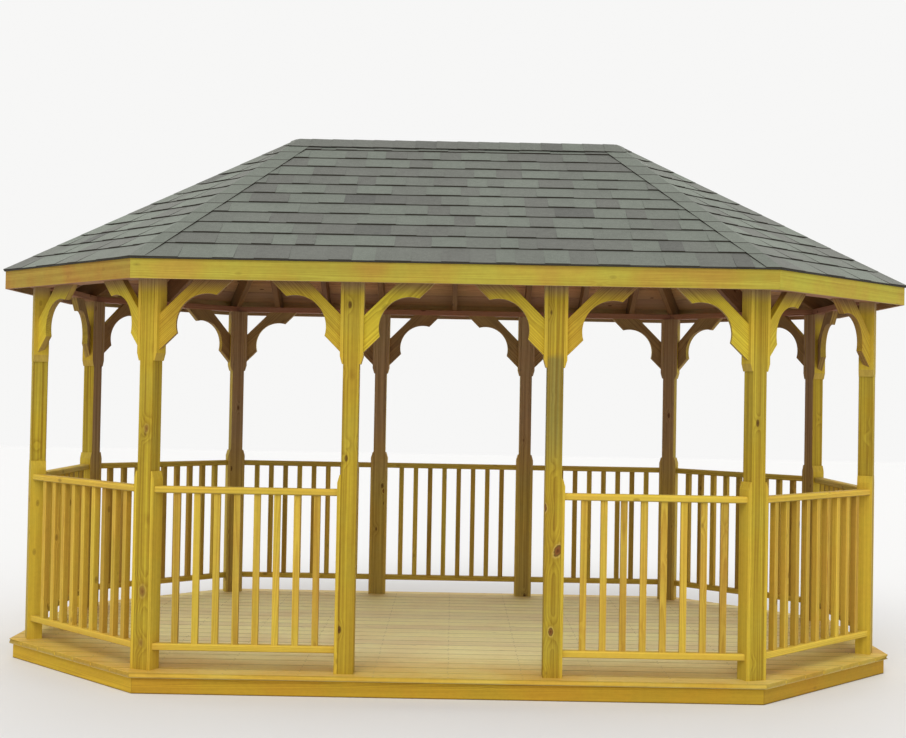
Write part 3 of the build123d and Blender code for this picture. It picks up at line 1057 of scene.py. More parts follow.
@dataclass(frozen=True)
class MetalFinish:
    """Coated metal with a dulled face: screws and the drip edge."""

    name: str
    colour: Colour
    worn: Colour
    metallic: float
    roughness: float
    rough_share: float = 0.2

    def material(self, groups: Groups) -> bpy.types.Material:
        """The material, mottled between its two colours.

        Args:
            groups: the shared node groups.

        Returns:
            The material.
        """
        material, g, shader = new_material(self.name)
        mottle = g.group(groups.weather, {"Position": g.node("TexCoord").outputs["Object"]})["Mottle"]
        g.feed(shader, {"Base Color": g.mix(mottle, self.colour, self.worn),
                        "Roughness": g.scaled(mottle, self.rough_share, self.roughness)})
        shader.inputs["Metallic"].default_value = self.metallic
        return material


# Lit colours of the timber, and a darker copy of them for painted shade under the roof.
GOLD, GOLD_LATE = srgb(191, 166, 48), srgb(132, 100, 22)
SHADE_BROWN, SHADE_BROWN_LATE = srgb(164, 134, 101), srgb(118, 91, 65)
# Posts, blocks and braces also take painted shade at their heads, under the plates.
POST_FINISH = TimberFinish(
    "Post timber", GOLD, GOLD_LATE, SHADE_BROWN, SHADE_BROWN_LATE, spacing=0.009, rings=0.52, drift=0.95,
    painted_head_shade=0.9)
BLOCK_FINISH = TimberFinish(
    "Block timber", srgb(210, 181, 58), srgb(154, 120, 34), SHADE_BROWN, SHADE_BROWN_LATE, rings=0.5, knots=0.4,
    drift=0.5, painted_head_shade=0.9)
# Rails: a stronger painted highlight along their rounded edges.
RAIL_FINISH = TimberFinish(
    "Rail timber", srgb(205, 173, 66), srgb(160, 118, 34), srgb(146, 124, 62), srgb(108, 87, 40), knots=0.5,
    painted_edge_light=0.16, variety=0.42)
BRACE_FINISH = TimberFinish(
    "Brace timber", srgb(206, 180, 54), srgb(156, 122, 30), srgb(146, 114, 76), srgb(102, 76, 50),
    spacing=0.0085, rings=0.85, drift=0.5, knots=0.3, painted_head_shade=1.0)
FASCIA_FINISH = TimberFinish(
    "Fascia timber", srgb(182, 160, 61), srgb(142, 112, 37), SHADE_BROWN, SHADE_BROWN_LATE, rings=0.5, drift=0.6,
    knots=0.2, hues=0.05)
# Band: painted shadow under the nosing, along its edges.
BAND_FINISH = TimberFinish(
    "Band timber", srgb(198, 160, 44), srgb(150, 114, 28), srgb(124, 92, 54), srgb(90, 66, 40), knots=0.3,
    painted_edge_light=-0.5)
# Floor: the shaded copy is paler, so under the roof the mask paints light onto the boards; the seams take
# painted shade.
DECK_FINISH = TimberFinish(
    "Floor boards", srgb(214, 178, 66), srgb(174, 134, 44), srgb(246, 232, 170), srgb(208, 192, 136),
    rings=0.35, drift=0.45, knots=0.2, painted_edge_light=-0.30, variety=0.10)
# Framing, plates and roof boards: dark red-brown colours, painted shade under the roof; framing and roof
# boards grow darker still towards the eaves.
FRAME_FINISH = TimberFinish(
    "Framing timber", srgb(128, 94, 62), srgb(96, 68, 44), srgb(126, 92, 64), srgb(94, 66, 46), painted_eave_shade=0.5)
PLATE_FINISH = TimberFinish(
    "Plate timber", srgb(158, 116, 82), srgb(120, 84, 60), srgb(158, 112, 86), srgb(120, 82, 62))
CEILING_FINISH = TimberFinish(
    "Roof boards", srgb(206, 158, 114), srgb(156, 114, 80), srgb(206, 158, 118), srgb(154, 112, 80),
    painted_edge_light=-0.2, painted_eave_shade=0.45)
SHINGLE_FINISH = ShingleFinish()
SCREW_FINISH = MetalFinish("Screw heads", srgb(150, 134, 96), srgb(120, 106, 74), 0.25, 0.6)
DRIP_FINISH = MetalFinish("Drip edge", srgb(96, 76, 42), srgb(74, 58, 34), 0.1, 0.6)


# Sub-assemblies

def ring_board(shells: Shells, side: Side, outline: Outline, rng: np.random.Generator,
               tone: float | None = None) -> None:
    """Add one level board of a ring, its ends mitred at the plan's corners.

    Args:
        shells: where it goes.
        side: the side that it lies on.
        outline: its section as (out, height).
        rng: source of its grain and shade.
        tone: its own shade, where it has one.
    """
    local = sweep(outline, *mitres(lambda a, b: side.hip(a), PLAN.joint_gap / 2))
    shade = rng.uniform() if tone is None else tone
    shells.add(side.place(*np.moveaxis(local, -1, 0)), grain_of(local, rng), shade, outline)


@dataclass
class Floor:
    """The floor: boards cut to the octagon, with screws over every joist and a band below."""

    groups: Groups
    board_count: int = 23
    board_gap: float = 0.004
    board_edge: float = 0.004
    seam: float = 0.004
    end_ease: float = 0.003
    nosing_offset: float = 0.107
    band_offset: float = 0.085
    band_edge: float = 0.003
    band_hold: float = 0.005
    joist_spacing: float = 0.406
    joist_rows: int = 6
    screw_radius: float = 0.0038
    screw_rings: tuple[tuple[float, float], ...] = ((1.0, -0.002), (0.96, 0.0004), (0.55, 0.0008))
    screw_sides: int = 8
    screw_inset: float = 0.026
    screw_margin: float = 0.06
    screw_wander: float = 0.0015
    rng: np.random.Generator = seeded(3)

    @property
    def half(self) -> float:
        """Middle of the floor to the front of its nosing."""
        return PLAN.half_width + self.nosing_offset

    @property
    def row_pitch(self) -> float:
        """Distance from board to board."""
        return (2 * self.half + self.board_gap) / self.board_count

    @property
    def board_width(self) -> float:
        """Width of one board."""
        return self.row_pitch - self.board_gap

    def half_length(self, y: Array) -> Array:
        """Half the floor's length at a depth: the smaller of the end's distance and (corner sum - |y|)."""
        corner_sum = PLAN.ridge_half + self.half * TAN_MITRE + self.half
        return np.minimum(PLAN.ridge_half + self.half, corner_sum - np.abs(y))

    def boards(self) -> None:
        """Floor boards: an eased section carried along x between the two ends of the octagon.

        A board that passes a corner has a point of its section moved onto it, so its end turns there.
        """
        shells = Shells()
        width = self.board_width
        for row in range(self.board_count):
            y = -self.half + width / 2 + row * self.row_pitch
            kink = math.copysign(self.half * TAN_MITRE, y) - y
            if abs(kink) >= width / 2 - self.board_edge - self.seam:
                kink = 0.0
            middle = (y, PLAN.floor_top - PLAN.floor_thickness / 2)
            corners = rectangle(width, PLAN.floor_thickness, middle)
            eased = eased_outline(corners, self.board_edge, hold=self.seam)
            quarter = len(eased.points) // 4
            places = (quarter, 3 * quarter)
            kinks = [(y + kink, PLAN.wide_face), (y + kink, PLAN.floor_top)]
            points = np.insert(eased.points, places, kinks, axis=0)
            outline = Outline(points, np.insert(eased.edge, places, 0.0))
            local = sweep(outline, *mitres(lambda a, b: self.half_length(a)), self.end_ease)
            shells.add(local, grain_of(local, self.rng), self.rng.uniform(), outline)
        shells.piece("floor_boards", DECK_FINISH.material(self.groups), "deck_boards", ["deck_floor"])

    def screws(self) -> None:
        """Screw heads: two in each board over each joist, low domes of rings (r cos t, r sin t, lift)."""
        shells = Shells()
        turn = np.linspace(0, 2 * math.pi, self.screw_sides + 1)[:-1]
        share, lift = np.array(self.screw_rings).T[:, :, None]
        radius = share * self.screw_radius
        ring = np.stack([radius * np.cos(turn), radius * np.sin(turn), lift + 0 * turn], -1)
        for row in range(self.board_count):
            start = -self.half + row * self.row_pitch
            for column in range(-self.joist_rows, self.joist_rows + 1):
                x = column * self.joist_spacing
                for y in (start + self.screw_inset, start + self.board_width - self.screw_inset):
                    if abs(x) < self.half_length(y) - self.screw_margin:
                        shift = self.rng.normal(0, self.screw_wander, 2)
                        grid = ring + (x + shift[0], y + shift[1], PLAN.floor_top)
                        shells.add(grid, grid, self.rng.uniform())
        shells.piece("floor_screws", SCREW_FINISH.material(self.groups), "deck_boards")

    def band(self) -> None:
        """Band boards round the joists, mitred at the corners."""
        shells = Shells()
        middle = (PLAN.half_width + self.band_offset - PLAN.stud / 2, PLAN.wide_face / 2)
        corners = rectangle(PLAN.stud, PLAN.wide_face, middle)
        outline = eased_outline(corners, self.band_edge, hold=self.band_hold)
        for index in range(SIDE_COUNT):
            ring_board(shells, PLAN.side(index), outline, self.rng)
        shells.piece("floor_band_boards", BAND_FINISH.material(self.groups), "band_timber", ["floor_band"])

    def build(self) -> None:
        """Make the whole floor."""
        self.boards()
        self.screws()
        self.band()


@dataclass(frozen=True)
class RailSection:
    """Section of a rail, how round its long edges are, and its underside above the floor."""

    height: float
    depth: float
    rounding: float
    low: float


@dataclass
class Railings:
    """Eleven railing panels: two rounded rails and square balusters between them."""

    groups: Groups
    top: RailSection = RailSection(0.038, 0.064, 0.012, 0.965)
    bottom: RailSection = RailSection(0.038, 0.050, 0.008, 0.107)
    rail_steps: int = 5
    rail_hold: float = 0.001
    rail_ease: float = 0.001
    rail_tones: Range = (0.55, 1.0)
    baluster: float = 0.035
    baluster_edge: float = 0.0025
    baluster_tones: Range = (0.05, 0.9)
    spacing: float = 0.113
    rng: np.random.Generator = seeded(5)

    def panels(self) -> dict[str, Bay]:
        """The bays that have a railing. The middle front bay is the entrance.

        Returns:
            Bay of each panel, by the name of its solid.
        """
        front, back = PLAN.bays(FRONT), PLAN.bays(BACK)
        names = {"front_left": front[0], "front_right": front[2],
                 "back_right": back[0], "back_middle": back[1], "back_left": back[2]}
        turned = ["right_front", "right_end", "right_back", "", "left_back", "left_end", "left_front"]
        names |= {name: PLAN.bays(index)[0] for index, name in enumerate(turned) if name}
        return {"railing_" + name: bay for name, bay in names.items()}

    def rail(self, shells: Shells, bay: Bay, section: RailSection) -> None:
        """Add one rail, its ends cut to the block faces: s = face +- out * tan(22.5) beside a corner.

        Args:
            shells: where it goes.
            bay: the bay that it spans.
            section: its section and height.
        """
        middle = (0.0, PLAN.floor_top + section.low + section.height / 2)
        corners = rectangle(section.depth, section.height, middle)
        outline = eased_outline(corners, section.rounding, self.rail_steps, self.rail_hold)
        low_turn, high_turn = bay.low_turned * TAN_MITRE, bay.high_turned * TAN_MITRE
        local = sweep(outline, lambda a, b: bay.low - a * low_turn, lambda a, b: bay.high + a * high_turn,
                      self.rail_ease)
        s, out, z = np.moveaxis(local, -1, 0)
        grid = bay.side.place(s, out + PLAN.half_width, z)
        shells.add(grid, grain_of(local, self.rng), self.rng.uniform(*self.rail_tones), outline)

    def balusters(self, shells: Shells, bay: Bay) -> None:
        """Add the balusters of one bay: a square section carried upwards, evenly spaced.

        Args:
            shells: where they go.
            bay: the bay that they fill.
        """
        clear = bay.high - bay.low
        count = math.ceil(clear / self.spacing) - 1
        low, high = (PLAN.floor_top + rail.low + rail.height / 2 for rail in (self.bottom, self.top))
        outline = eased_outline(rectangle(self.baluster, self.baluster), self.baluster_edge)
        for n in range(count):
            middle = bay.low + clear * (n + 1) / (count + 1)
            local = sweep(outline, square(low), square(high))
            z, s, out = np.moveaxis(local, -1, 0)
            grid = bay.side.place(s + middle, out + PLAN.half_width, z)
            shells.add(grid, grain_of(local, self.rng), self.rng.uniform(*self.baluster_tones), outline)

    def build(self) -> None:
        """Make every panel."""
        finish = RAIL_FINISH.material(self.groups)
        for name, bay in self.panels().items():
            shells = Shells()
            self.rail(shells, bay, self.top)
            self.rail(shells, bay, self.bottom)
            self.balusters(shells, bay)
            shells.piece(name + "_panel", finish, "rail_timber", [name])


@dataclass
class Braces:
    """Scroll braces: a straight inner edge at 45 degrees and a cove between two cusps on the outer edge."""

    groups: Groups
    leg: float = 0.390
    throat: float = 0.186
    cusp: float = 0.088
    cove: float = 0.132
    thickness: float = 0.038
    edge: float = 0.003
    arc_steps: int = 22
    rng: np.random.Generator = seeded(7)

    def edges(self) -> tuple[Array, Array]:
        """The inner and outer edge as matching points (out, down).

        The outer edge runs straight from the block to a cusp, along a circle through both cusps and the
        cove's middle, and straight to the plate. The inner edge is the straight line between the two
        throats. The circle's middle lies on the diagonal, as far from a cusp as from the cove's middle.

        Returns:
            Inner and outer points, one a row, from the block to the plate.
        """
        far = self.leg - self.cusp
        middle = (self.cusp ** 2 + far ** 2 - 2 * self.cove ** 2) / (2 * (self.cusp + far) - 4 * self.cove)
        radius = math.sqrt(2) * (middle - self.cove)
        start = math.atan2(far - middle, self.cusp - middle)
        end = math.atan2(self.cusp - middle, far - middle)
        if end < start:
            end += 2 * math.pi
        turn = np.linspace(start, end, self.arc_steps + 1)
        arc = middle + radius * np.column_stack([np.cos(turn), np.sin(turn)])
        outer = np.vstack([[0.0, self.leg], arc, [self.leg, 0.0]])
        t = np.linalg.norm(np.diff(outer, axis=0), axis=1).cumsum()
        t = np.concatenate([[0.0], t / t[-1]])[:, None]
        inner = (1 - t) * [0.0, self.throat] + t * [self.throat, 0.0]
        return inner, outer

    def brace(self, shells: Shells, bay: Bay, at_high: bool) -> None:
        """Add one brace: the surface ruled between its two edges, with thickness and eased edges.

        At a station the section's points lie d from the nearer edge: inner + d * u or outer - d * u, u
        being the direction from the inner edge to the outer one. At a corner post the end follows the
        turned face.

        Args:
            shells: where it goes.
            bay: the bay that it stands in.
            at_high: at the high end of the bay or the low one.
        """
        inner, outer = self.edges()
        outline = eased_outline(rectangle(NOMINAL, self.thickness), self.edge)
        across, through = outline.points[:, :1], outline.points[:, 1]
        depth = NOMINAL / 2 - np.abs(across)
        towards = outer - inner
        towards /= np.linalg.norm(towards, axis=1, keepdims=True)
        near, far = inner[:, None] + depth * towards[:, None], outer[:, None] - depth * towards[:, None]
        plane = np.where(across < 0, near, far)
        shift = through * (bay.high_turned if at_high else bay.low_turned) * TAN_MITRE
        plane[0] += np.column_stack([-shift, shift])
        out, down = plane[..., 0], plane[..., 1]
        through = np.broadcast_to(through, out.shape)
        s = bay.high - out if at_high else bay.low + out
        grid = bay.side.place(s, through + PLAN.half_width, PLAN.plate_bottom - down)
        local = np.stack([(out - down) * math.sqrt(0.5), (out + down) * math.sqrt(0.5), through], -1)
        shells.add(grid, grain_of(local, self.rng), self.rng.uniform(), outline)

    def build(self) -> None:
        """Make all rows of braces."""
        finish = BRACE_FINISH.material(self.groups)
        for name, sides in ROOF_SIDES.items():
            shells = Shells()
            for bay in (bay for index in sides for bay in PLAN.bays(index)):
                self.brace(shells, bay, False)
                self.brace(shells, bay, True)
            shells.piece(f"braces_{name}_scrolls", finish, "brace_timber", [f"braces_{name}"])


@dataclass
class RoofFrame:
    """Top plates, hip rafters and common rafters."""

    groups: Groups
    plate_edge: float = 0.003
    rafter_edge: float = 0.002
    peak_block_flat: float = 0.040
    last_common: float = 0.060
    rng: np.random.Generator = seeded(13)

    def plates(self) -> None:
        """Top plates: mitred boards that lie flat on the posts."""
        shells = Shells()
        middle = (PLAN.half_width, (PLAN.plate_bottom + PLAN.plate_top) / 2)
        outline = eased_outline(rectangle(PLAN.wide_face, PLAN.stud, middle), self.plate_edge)
        for index in range(SIDE_COUNT):
            ring_board(shells, PLAN.side(index), outline, self.rng)
        finish = PLATE_FINISH.material(self.groups)
        shells.piece("top_plate_boards", finish, "framing_timber", ["top_plates"])

    def rafter(self, shells: Shells, place: Callable[[Array, Array, Array], Array], slope: float,
               drop: float, near: Callable[[Array], Array], far: float) -> None:
        """Add one rafter: the surface ruled between its top edge and its lower edge, with thickness.

        The top edge falls evenly. The lower edge runs parallel to it down to the seat and then level.

        Args:
            shells: where it goes.
            place: world points from (sideways, out, height).
            slope: fall for each metre out.
            drop: how far its top lies below the roof's rafter plane.
            near: distance of its near end from the ridge at a sideways place.
            far: distance of its far end.
        """
        top = PLAN.peak - drop
        plumb = PLAN.rafter_depth * math.hypot(1, slope)
        seat = (top - plumb - PLAN.plate_top) / slope
        corners = rectangle(PLAN.stud, NOMINAL)
        section = eased_outline(corners, self.rafter_edge, steps=1, hold=0.0).points
        sideways, depth = section[:, 0], NOMINAL / 2 - np.abs(section[:, 1])
        out = np.stack([near(sideways), np.full_like(sideways, seat), np.full_like(sideways, far)])
        low = np.maximum(top - out * slope - plumb, PLAN.plate_top)
        height = np.where(section[:, 1] > 0, top - out * slope - depth, low + depth)
        sideways = np.broadcast_to(sideways, out.shape)
        local = np.stack([out, sideways, height + out * slope], -1)
        shells.add(place(sideways, out, height), grain_of(local, self.rng), self.rng.uniform())

    def hips(self) -> None:
        """Hip rafters: one over each corner post, in an upright plane through a ridge end."""
        shells = Shells()
        slope = PLAN.rise * math.cos(MITRE)
        drop = PLAN.stud / 2 * math.sin(MITRE) * PLAN.rise
        near = self.peak_block_flat / 2 / TAN_MITRE
        far = PLAN.eave_inside / math.cos(MITRE) - PLAN.stud / 2 * TAN_MITRE
        for corner in range(SIDE_COUNT):
            end_x = PLAN.ridge_half if corner < SIDE_COUNT // 2 else -PLAN.ridge_half
            turned = Side(end_x, 0.0, (2 * corner - 3) * MITRE)
            self.rafter(shells, turned.place, slope, drop, lambda w: near + 0 * w, far)
        finish = FRAME_FINISH.material(self.groups)
        shells.piece("hip_rafter_boards", finish, "framing_timber", ["hip_rafters"])

    def commons(self) -> None:
        """Common rafters along the ridge, and jacks cut to the side faces of the hips.

        A jack's near end lies where out = (half a stud + distance from the hip line * cos 22.5) / sin 22.5.
        """
        shells = Shells()
        block = self.peak_block_flat / 2 / math.sin(MITRE)
        rows = [0.0, PLAN.bay / 2, -PLAN.bay / 2]
        rows += [sign * (PLAN.ridge_half - self.last_common) for sign in (1, -1)]
        jack = PLAN.half_width * TAN_MITRE / 2

        def add(side: Side, at: float, near: Callable[[Array], Array]) -> None:
            """Add one rafter of a side at a place along it."""
            place = lambda w, out, z: side.place(w + at, out, z)
            self.rafter(shells, place, PLAN.rise, 0.0, near, PLAN.eave_inside)

        def beside_hip(away: Array) -> Array:
            """Distance out at which a jack this far from the hip line meets the hip's side."""
            return (PLAN.stud / 2 + away * math.cos(MITRE)) / math.sin(MITRE)

        for index in (FRONT, BACK):
            side = PLAN.side(index)
            for at in rows:
                add(side, at, lambda w: PLAN.stud / 2 + 0 * w)
            for sign in (1, -1):
                add(side, sign * (side.base_half + jack), lambda w: beside_hip(jack + sign * w))
        for index in range(SIDE_COUNT):
            if index not in (FRONT, BACK):
                add(PLAN.side(index), 0.0, lambda w: np.maximum(beside_hip(np.abs(w)), block))
        finish = FRAME_FINISH.material(self.groups)
        shells.piece("common_rafter_boards", finish, "framing_timber", ["common_rafters"])

    def build(self) -> None:
        """Make the whole roof frame."""
        self.plates()
        self.hips()
        self.commons()


@dataclass
class RoofFace:
    """Coordinates of one roof face: distance up the slope from an edge, and height off its base plane."""

    side: Side
    edge_out: float
    lift: float

    def cut(self, up: Array, off: Array) -> tuple[Array, Array]:
        """Out = edge - up cos(p) + off sin(p), and height = base + up sin(p) + off cos(p).

        Args:
            up: distance up the slope.
            off: distance off the face's base plane.

        Returns:
            Distance out from the ridge, and height.
        """
        base = PLAN.peak + self.lift - self.edge_out * PLAN.rise
        sin, cos = math.sin(PLAN.pitch), math.cos(PLAN.pitch)
        return self.edge_out - up * cos + off * sin, base + up * sin + off * cos

    def hip(self, up: Array, off: Array) -> Array:
        """Half length of the face up to the plumb plane of its hips."""
        return self.side.hip(self.cut(up, off)[0])

    def place(self, local: Array) -> Array:
        """World points of a shape on the face.

        Args:
            local: its points as (along, up, off).

        Returns:
            Points with x, y and z in the last axis.
        """
        along, up, off = np.moveaxis(local, -1, 0)
        out, height = self.cut(up, off)
        return self.side.place(along, out, height)

    @property
    def slope_length(self) -> float:
        """Distance up the slope from the edge to the ridge."""
        return self.edge_out / math.cos(PLAN.pitch)


@dataclass
class RoofBoards:
    """Sheathing of level boards with a V joint below, seen from inside the gazebo."""

    groups: Groups
    board_width: float = 0.1378
    board_gap: float = 0.0006
    joint: float = 0.0035
    hold: float = 0.004
    hip_gap: float = 0.0015
    end_ease: float = 0.0005
    ridge_gap: float = 0.012
    rng: np.random.Generator = seeded(17)

    def face(self, shells: Shells, index: int) -> None:
        """Add the boards of one face: a chamfered section carried from hip to hip.

        On the narrow strip at the top, the chamfer takes a quarter of the width at most.

        Args:
            shells: where they go.
            index: number of the side.
        """
        face = RoofFace(PLAN.side(index), PLAN.eave_inside, PLAN.bearing_gap)
        top = face.slope_length - self.ridge_gap
        for low in np.arange(math.ceil(top / self.board_width)) * self.board_width:
            high = min(low + self.board_width, top) - self.board_gap
            corners = rectangle(high - low, PLAN.roof_board, ((low + high) / 2, PLAN.roof_board / 2))
            joint, hold = min(self.joint, (high - low) / 4), min(self.hold, (high - low) / 8)
            outline = eased_outline(corners, joint, steps=1, hold=hold)
            local = sweep(outline, *mitres(face.hip, self.hip_gap), self.end_ease)
            shells.add(face.place(local), grain_of(local, self.rng), self.rng.uniform(), outline)

    def build(self) -> None:
        """Make the boards of every face."""
        finish = CEILING_FINISH.material(self.groups)
        for name, sides in ROOF_SIDES.items():
            shells = Shells()
            for index in sides:
                self.face(shells, index)
            piece = f"roof_boards_{name}_planks"
            shells.piece(piece, finish, "roof_boards", [f"roof_boards_{name}"], smooth=False)


@dataclass
class Eaves:
    """Fascia boards, bevelled along their tops, and the metal drip edge over them."""

    groups: Groups
    edge: float = 0.0025
    drip_height: float = 0.004
    drip_lap: float = 0.03
    drip_gap: float = 0.0005
    drip_bed: float = 0.0003
    drip_thickness: float = 0.0016
    drip_kick: tuple[tuple[float, float], ...] = ((0.004, 0.003), (0.0048, 0.0018))
    drip_turn: float = 0.001
    drip_ease: float = 0.001
    tones: tuple[float, ...] = (0.85, 0.6, 0.4, 0.5, 0.6, 0.35, 0.05, 0.6)
    rng: np.random.Generator = seeded(19)

    def roof_height(self, out: Array) -> Array:
        """Height of the roof boards' top plane at a distance from the ridge."""
        return PLAN.peak + PLAN.board_high - out * PLAN.rise

    def fascia(self) -> None:
        """Fascia boards: mitred, with the top along the roof."""
        shells = Shells()
        outer, inner = PLAN.eave_face, PLAN.eave_inside
        high, low = self.roof_height(outer), self.roof_height(outer) - PLAN.fascia_height
        corners = [(inner, low), (outer, low), (outer, high), (inner, self.roof_height(inner))]
        outline = eased_outline(corners, self.edge)
        for index, tone in enumerate(self.tones):
            ring_board(shells, PLAN.side(index), outline, self.rng, tone)
        shells.piece("fascia_boards", FASCIA_FINISH.material(self.groups), "fascia_timber", ["fascia"])

    def drip(self) -> None:
        """Drip edge: a folded strip on the roof boards that turns down over the fascia and kicks out."""
        shells = Shells()
        outer, t = PLAN.eave_face, self.drip_thickness
        inner, face = outer - self.drip_lap, outer + self.drip_gap
        top, inner_top = self.roof_height(outer), self.roof_height(inner)
        drop = top - self.drip_height
        kick = [(outer + out, drop - down) for out, down in self.drip_kick]
        section = np.array([
            (inner, inner_top + self.drip_bed), (face, top + self.drip_bed), (face, drop), *kick,
            (face + t, drop + self.drip_turn), (face + t, top + t), (inner, inner_top + t)])
        for index in range(SIDE_COUNT):
            side = PLAN.side(index)
            local = sweep(section, *mitres(lambda a, b: side.hip(a)), self.drip_ease)
            shells.add(side.place(*np.moveaxis(local, -1, 0)), local, 0.5)
        shells.piece("drip_edge", DRIP_FINISH.material(self.groups), "shingles", smooth=False)

    def build(self) -> None:
        """Make the eaves."""
        self.fascia()
        self.drip()


class Laps(Enum):
    """What a face does at its hips."""

    TUCKS = "its tabs end under the neighbour's"
    WRAPS = "its courses fold over onto the neighbour"


@dataclass
class Shingles:
    """Laminated shingles in level courses: thin wedges, folded over the hips and cut along a line."""

    groups: Groups
    overhang: float = 0.008
    cover: float = 0.022
    narrow: float = 0.095
    wide: float = 0.235
    thick: float = 0.0110
    thin: float = 0.0082
    lower: float = 0.0024
    fold_thick: float = 0.0130
    fold_lower: float = 0.0116
    fold_low_width: float = 0.080
    fold_high_width: float = 0.138
    fold_fade: float = 0.35
    fold_bed: float = 0.004
    fold_stops: Range = (0.45, 0.55)
    fold_least: float = 0.001
    fold_top_gap: float = 0.02
    last_fold: float = 0.05
    nudge: float = 0.0015
    uneven: float = 0.0003
    first_cut: float = 0.06
    last_cut: float = 0.05
    bed: float = 0.0003
    bed_start: float = 0.03
    butt_low: float = 0.0012
    lip: tuple[float, float] = (0.001, 0.0008)
    starter_ends: tuple[tuple[float, float], ...] = ((-0.002, 0.0022), (0.15, 0.0012))
    starter_tone: float = 0.1
    top_gap: float = 0.004
    ridge_gap: float = 0.03
    tones: tuple[float, float] = (0.52, 0.22)
    long_courses: tuple[float, float] = (0.199, 0.1564)
    diagonal_courses: tuple[float, float] = (0.180, 0.1515)
    end_courses: tuple[float, float] = (0.192, 0.1545)
    rng: np.random.Generator = seeded(23)

    def courses(self, index: int) -> tuple[float, float]:
        """First and later exposures of a face: they differ a little from face to face."""
        if index in (FRONT, BACK):
            return self.long_courses
        return self.end_courses if index in ENDS else self.diagonal_courses

    def laps(self, index: int) -> Laps:
        """What a face does at its hips: the diagonals wrap over the long faces and the ends."""
        return Laps.WRAPS if index % 2 == 0 else Laps.TUCKS

    def face(self, index: int) -> RoofFace:
        """Coordinates of one face, from the shingles' lower edge."""
        return RoofFace(PLAN.side(index), PLAN.eave_face + self.overhang, PLAN.board_high)

    def section(self, top: float, bottom_end: float, up: float, length: float, base: float = 0.0) -> Array:
        """Section of a tab as (up, off): a wedge with an eased lip at its butt.

        Args:
            top: height of its butt.
            bottom_end: height of its surface where the next course begins.
            up: its butt's distance up the slope.
            length: how far it reaches up the slope.
            base: height of what it lies on.

        Returns:
            Six points in order.
        """
        bed, end, (along, down) = base + self.bed, up + length, self.lip
        return np.array([(up, base + self.butt_low), (up, top - down), (up + along, top),
                         (end, bottom_end), (end, bed), (up + self.bed_start, bed)])

    def tab(self, shells: Shells, face: RoofFace, sections: Sequence[Array], low: Cut, high: Cut,
            stops: Sequence[float], tone: float, butt: float, shown: float) -> None:
        """Add one tab: its section carried from one edge to the other, and changed on the way.

        Args:
            shells: where it goes.
            face: the face's coordinates.
            sections: section at each stop.
            low: its low edge, as a function of (up, off).
            high: its high edge.
            stops: places of the sections between the edges, from 0 to 1.
            tone: its shade.
            butt: distance of its butt up the slope.
            shown: how much of it shows below the next course.
        """
        rings = []
        for section, t in zip(sections, stops):
            start, end = low(*section.T), high(*section.T)
            rings.append(np.column_stack([start + (end - start) * t, section]))
        local = np.stack(rings)
        grain = (local - [0.0, butt, 0.0]) / [1.0, shown, 1.0]
        shells.add(face.place(local), grain, tone)

    def tone(self) -> float:
        """Shade of a tab: mostly middling, now and then dark or pale."""
        return float(np.clip(self.rng.normal(*self.tones), 0.0, 1.0))

    def course(self, shells: Shells, index: int, up: float, exposure: float) -> None:
        """Add one course of a face: tabs of uneven width, alternately thick and thin.

        Args:
            shells: where it goes.
            index: number of the side.
            up: distance of its butts up the slope.
            exposure: how much of it shows.
        """
        face = self.face(index)
        length = min(exposure + self.cover, face.slope_length - self.top_gap - up)
        top_half = float(face.hip(up + length, 0.0))
        low_hip, high_hip = mitres(face.hip)
        wraps = self.laps(index) is Laps.WRAPS
        fold = self.section(self.fold_thick, self.fold_lower, up, length)
        edges = [-np.inf]
        spot = -top_half + self.rng.uniform(self.first_cut, self.wide)
        while spot < top_half - self.last_cut:
            edges.append(spot)
            spot += self.rng.uniform(self.narrow, self.wide)
        edges.append(np.inf)
        thick = bool(self.rng.integers(2))
        for start, end in zip(edges[:-1], edges[1:]):
            thick = not thick
            height = self.thick if thick else self.thin
            height += self.rng.uniform(-self.uneven, self.uneven)
            nudge = self.rng.uniform(-self.nudge, self.nudge)
            plain = self.section(height, self.lower, up + nudge, length)
            sections, stops = [plain, plain], [0.0, 1.0]
            first, last = start == -np.inf, end == np.inf
            if first and wraps:
                sections, stops = [fold, plain, plain], [0.0, self.fold_stops[0], 1.0]
            if last and wraps:
                sections, stops = [*sections[:-1], plain, fold], [*stops[:-1], self.fold_stops[1], 1.0]
            low, high = low_hip if first else square(start), high_hip if last else square(end)
            self.tab(shells, face, sections, low, high, stops, self.tone(), up, exposure)

    def fold_width(self, face: RoofFace, up: Array) -> Array:
        """Width of a fold strip: it grows evenly from the eave to the ridge."""
        return self.fold_low_width + (self.fold_high_width - self.fold_low_width) * up / face.slope_length

    def folds(self, shells: Shells, index: int) -> None:
        """Add the strips that the neighbours' courses leave on a face: from a hip to a line along it.

        Args:
            shells: where they go.
            index: number of the side that they lie on.
        """
        face = self.face(index)
        for sign in (-1, 1) if self.laps(index) is Laps.TUCKS else ():
            hip = lambda a, b: sign * face.hip(a, b)
            line = lambda a, b: sign * np.maximum(
                face.hip(a, 0 * b) - self.fold_width(face, a), self.fold_least)
            low, high = (line, hip) if sign > 0 else (hip, line)
            first, exposure = self.courses((index + sign) % SIDE_COUNT)
            ups = [0.0, *np.arange(first, face.slope_length - self.last_fold, exposure)]
            for up, end in zip(ups, [*ups[1:], face.slope_length]):
                length = min(end - up + self.cover, face.slope_length - self.fold_top_gap - up)
                section = self.section(self.fold_thick, self.fold_lower, up, length, self.fold_bed)
                if length > self.cover:
                    tone = self.tone() + self.fold_fade
                    self.tab(shells, face, [section] * 2, low, high, [0.0, 1.0], tone, up, end - up)

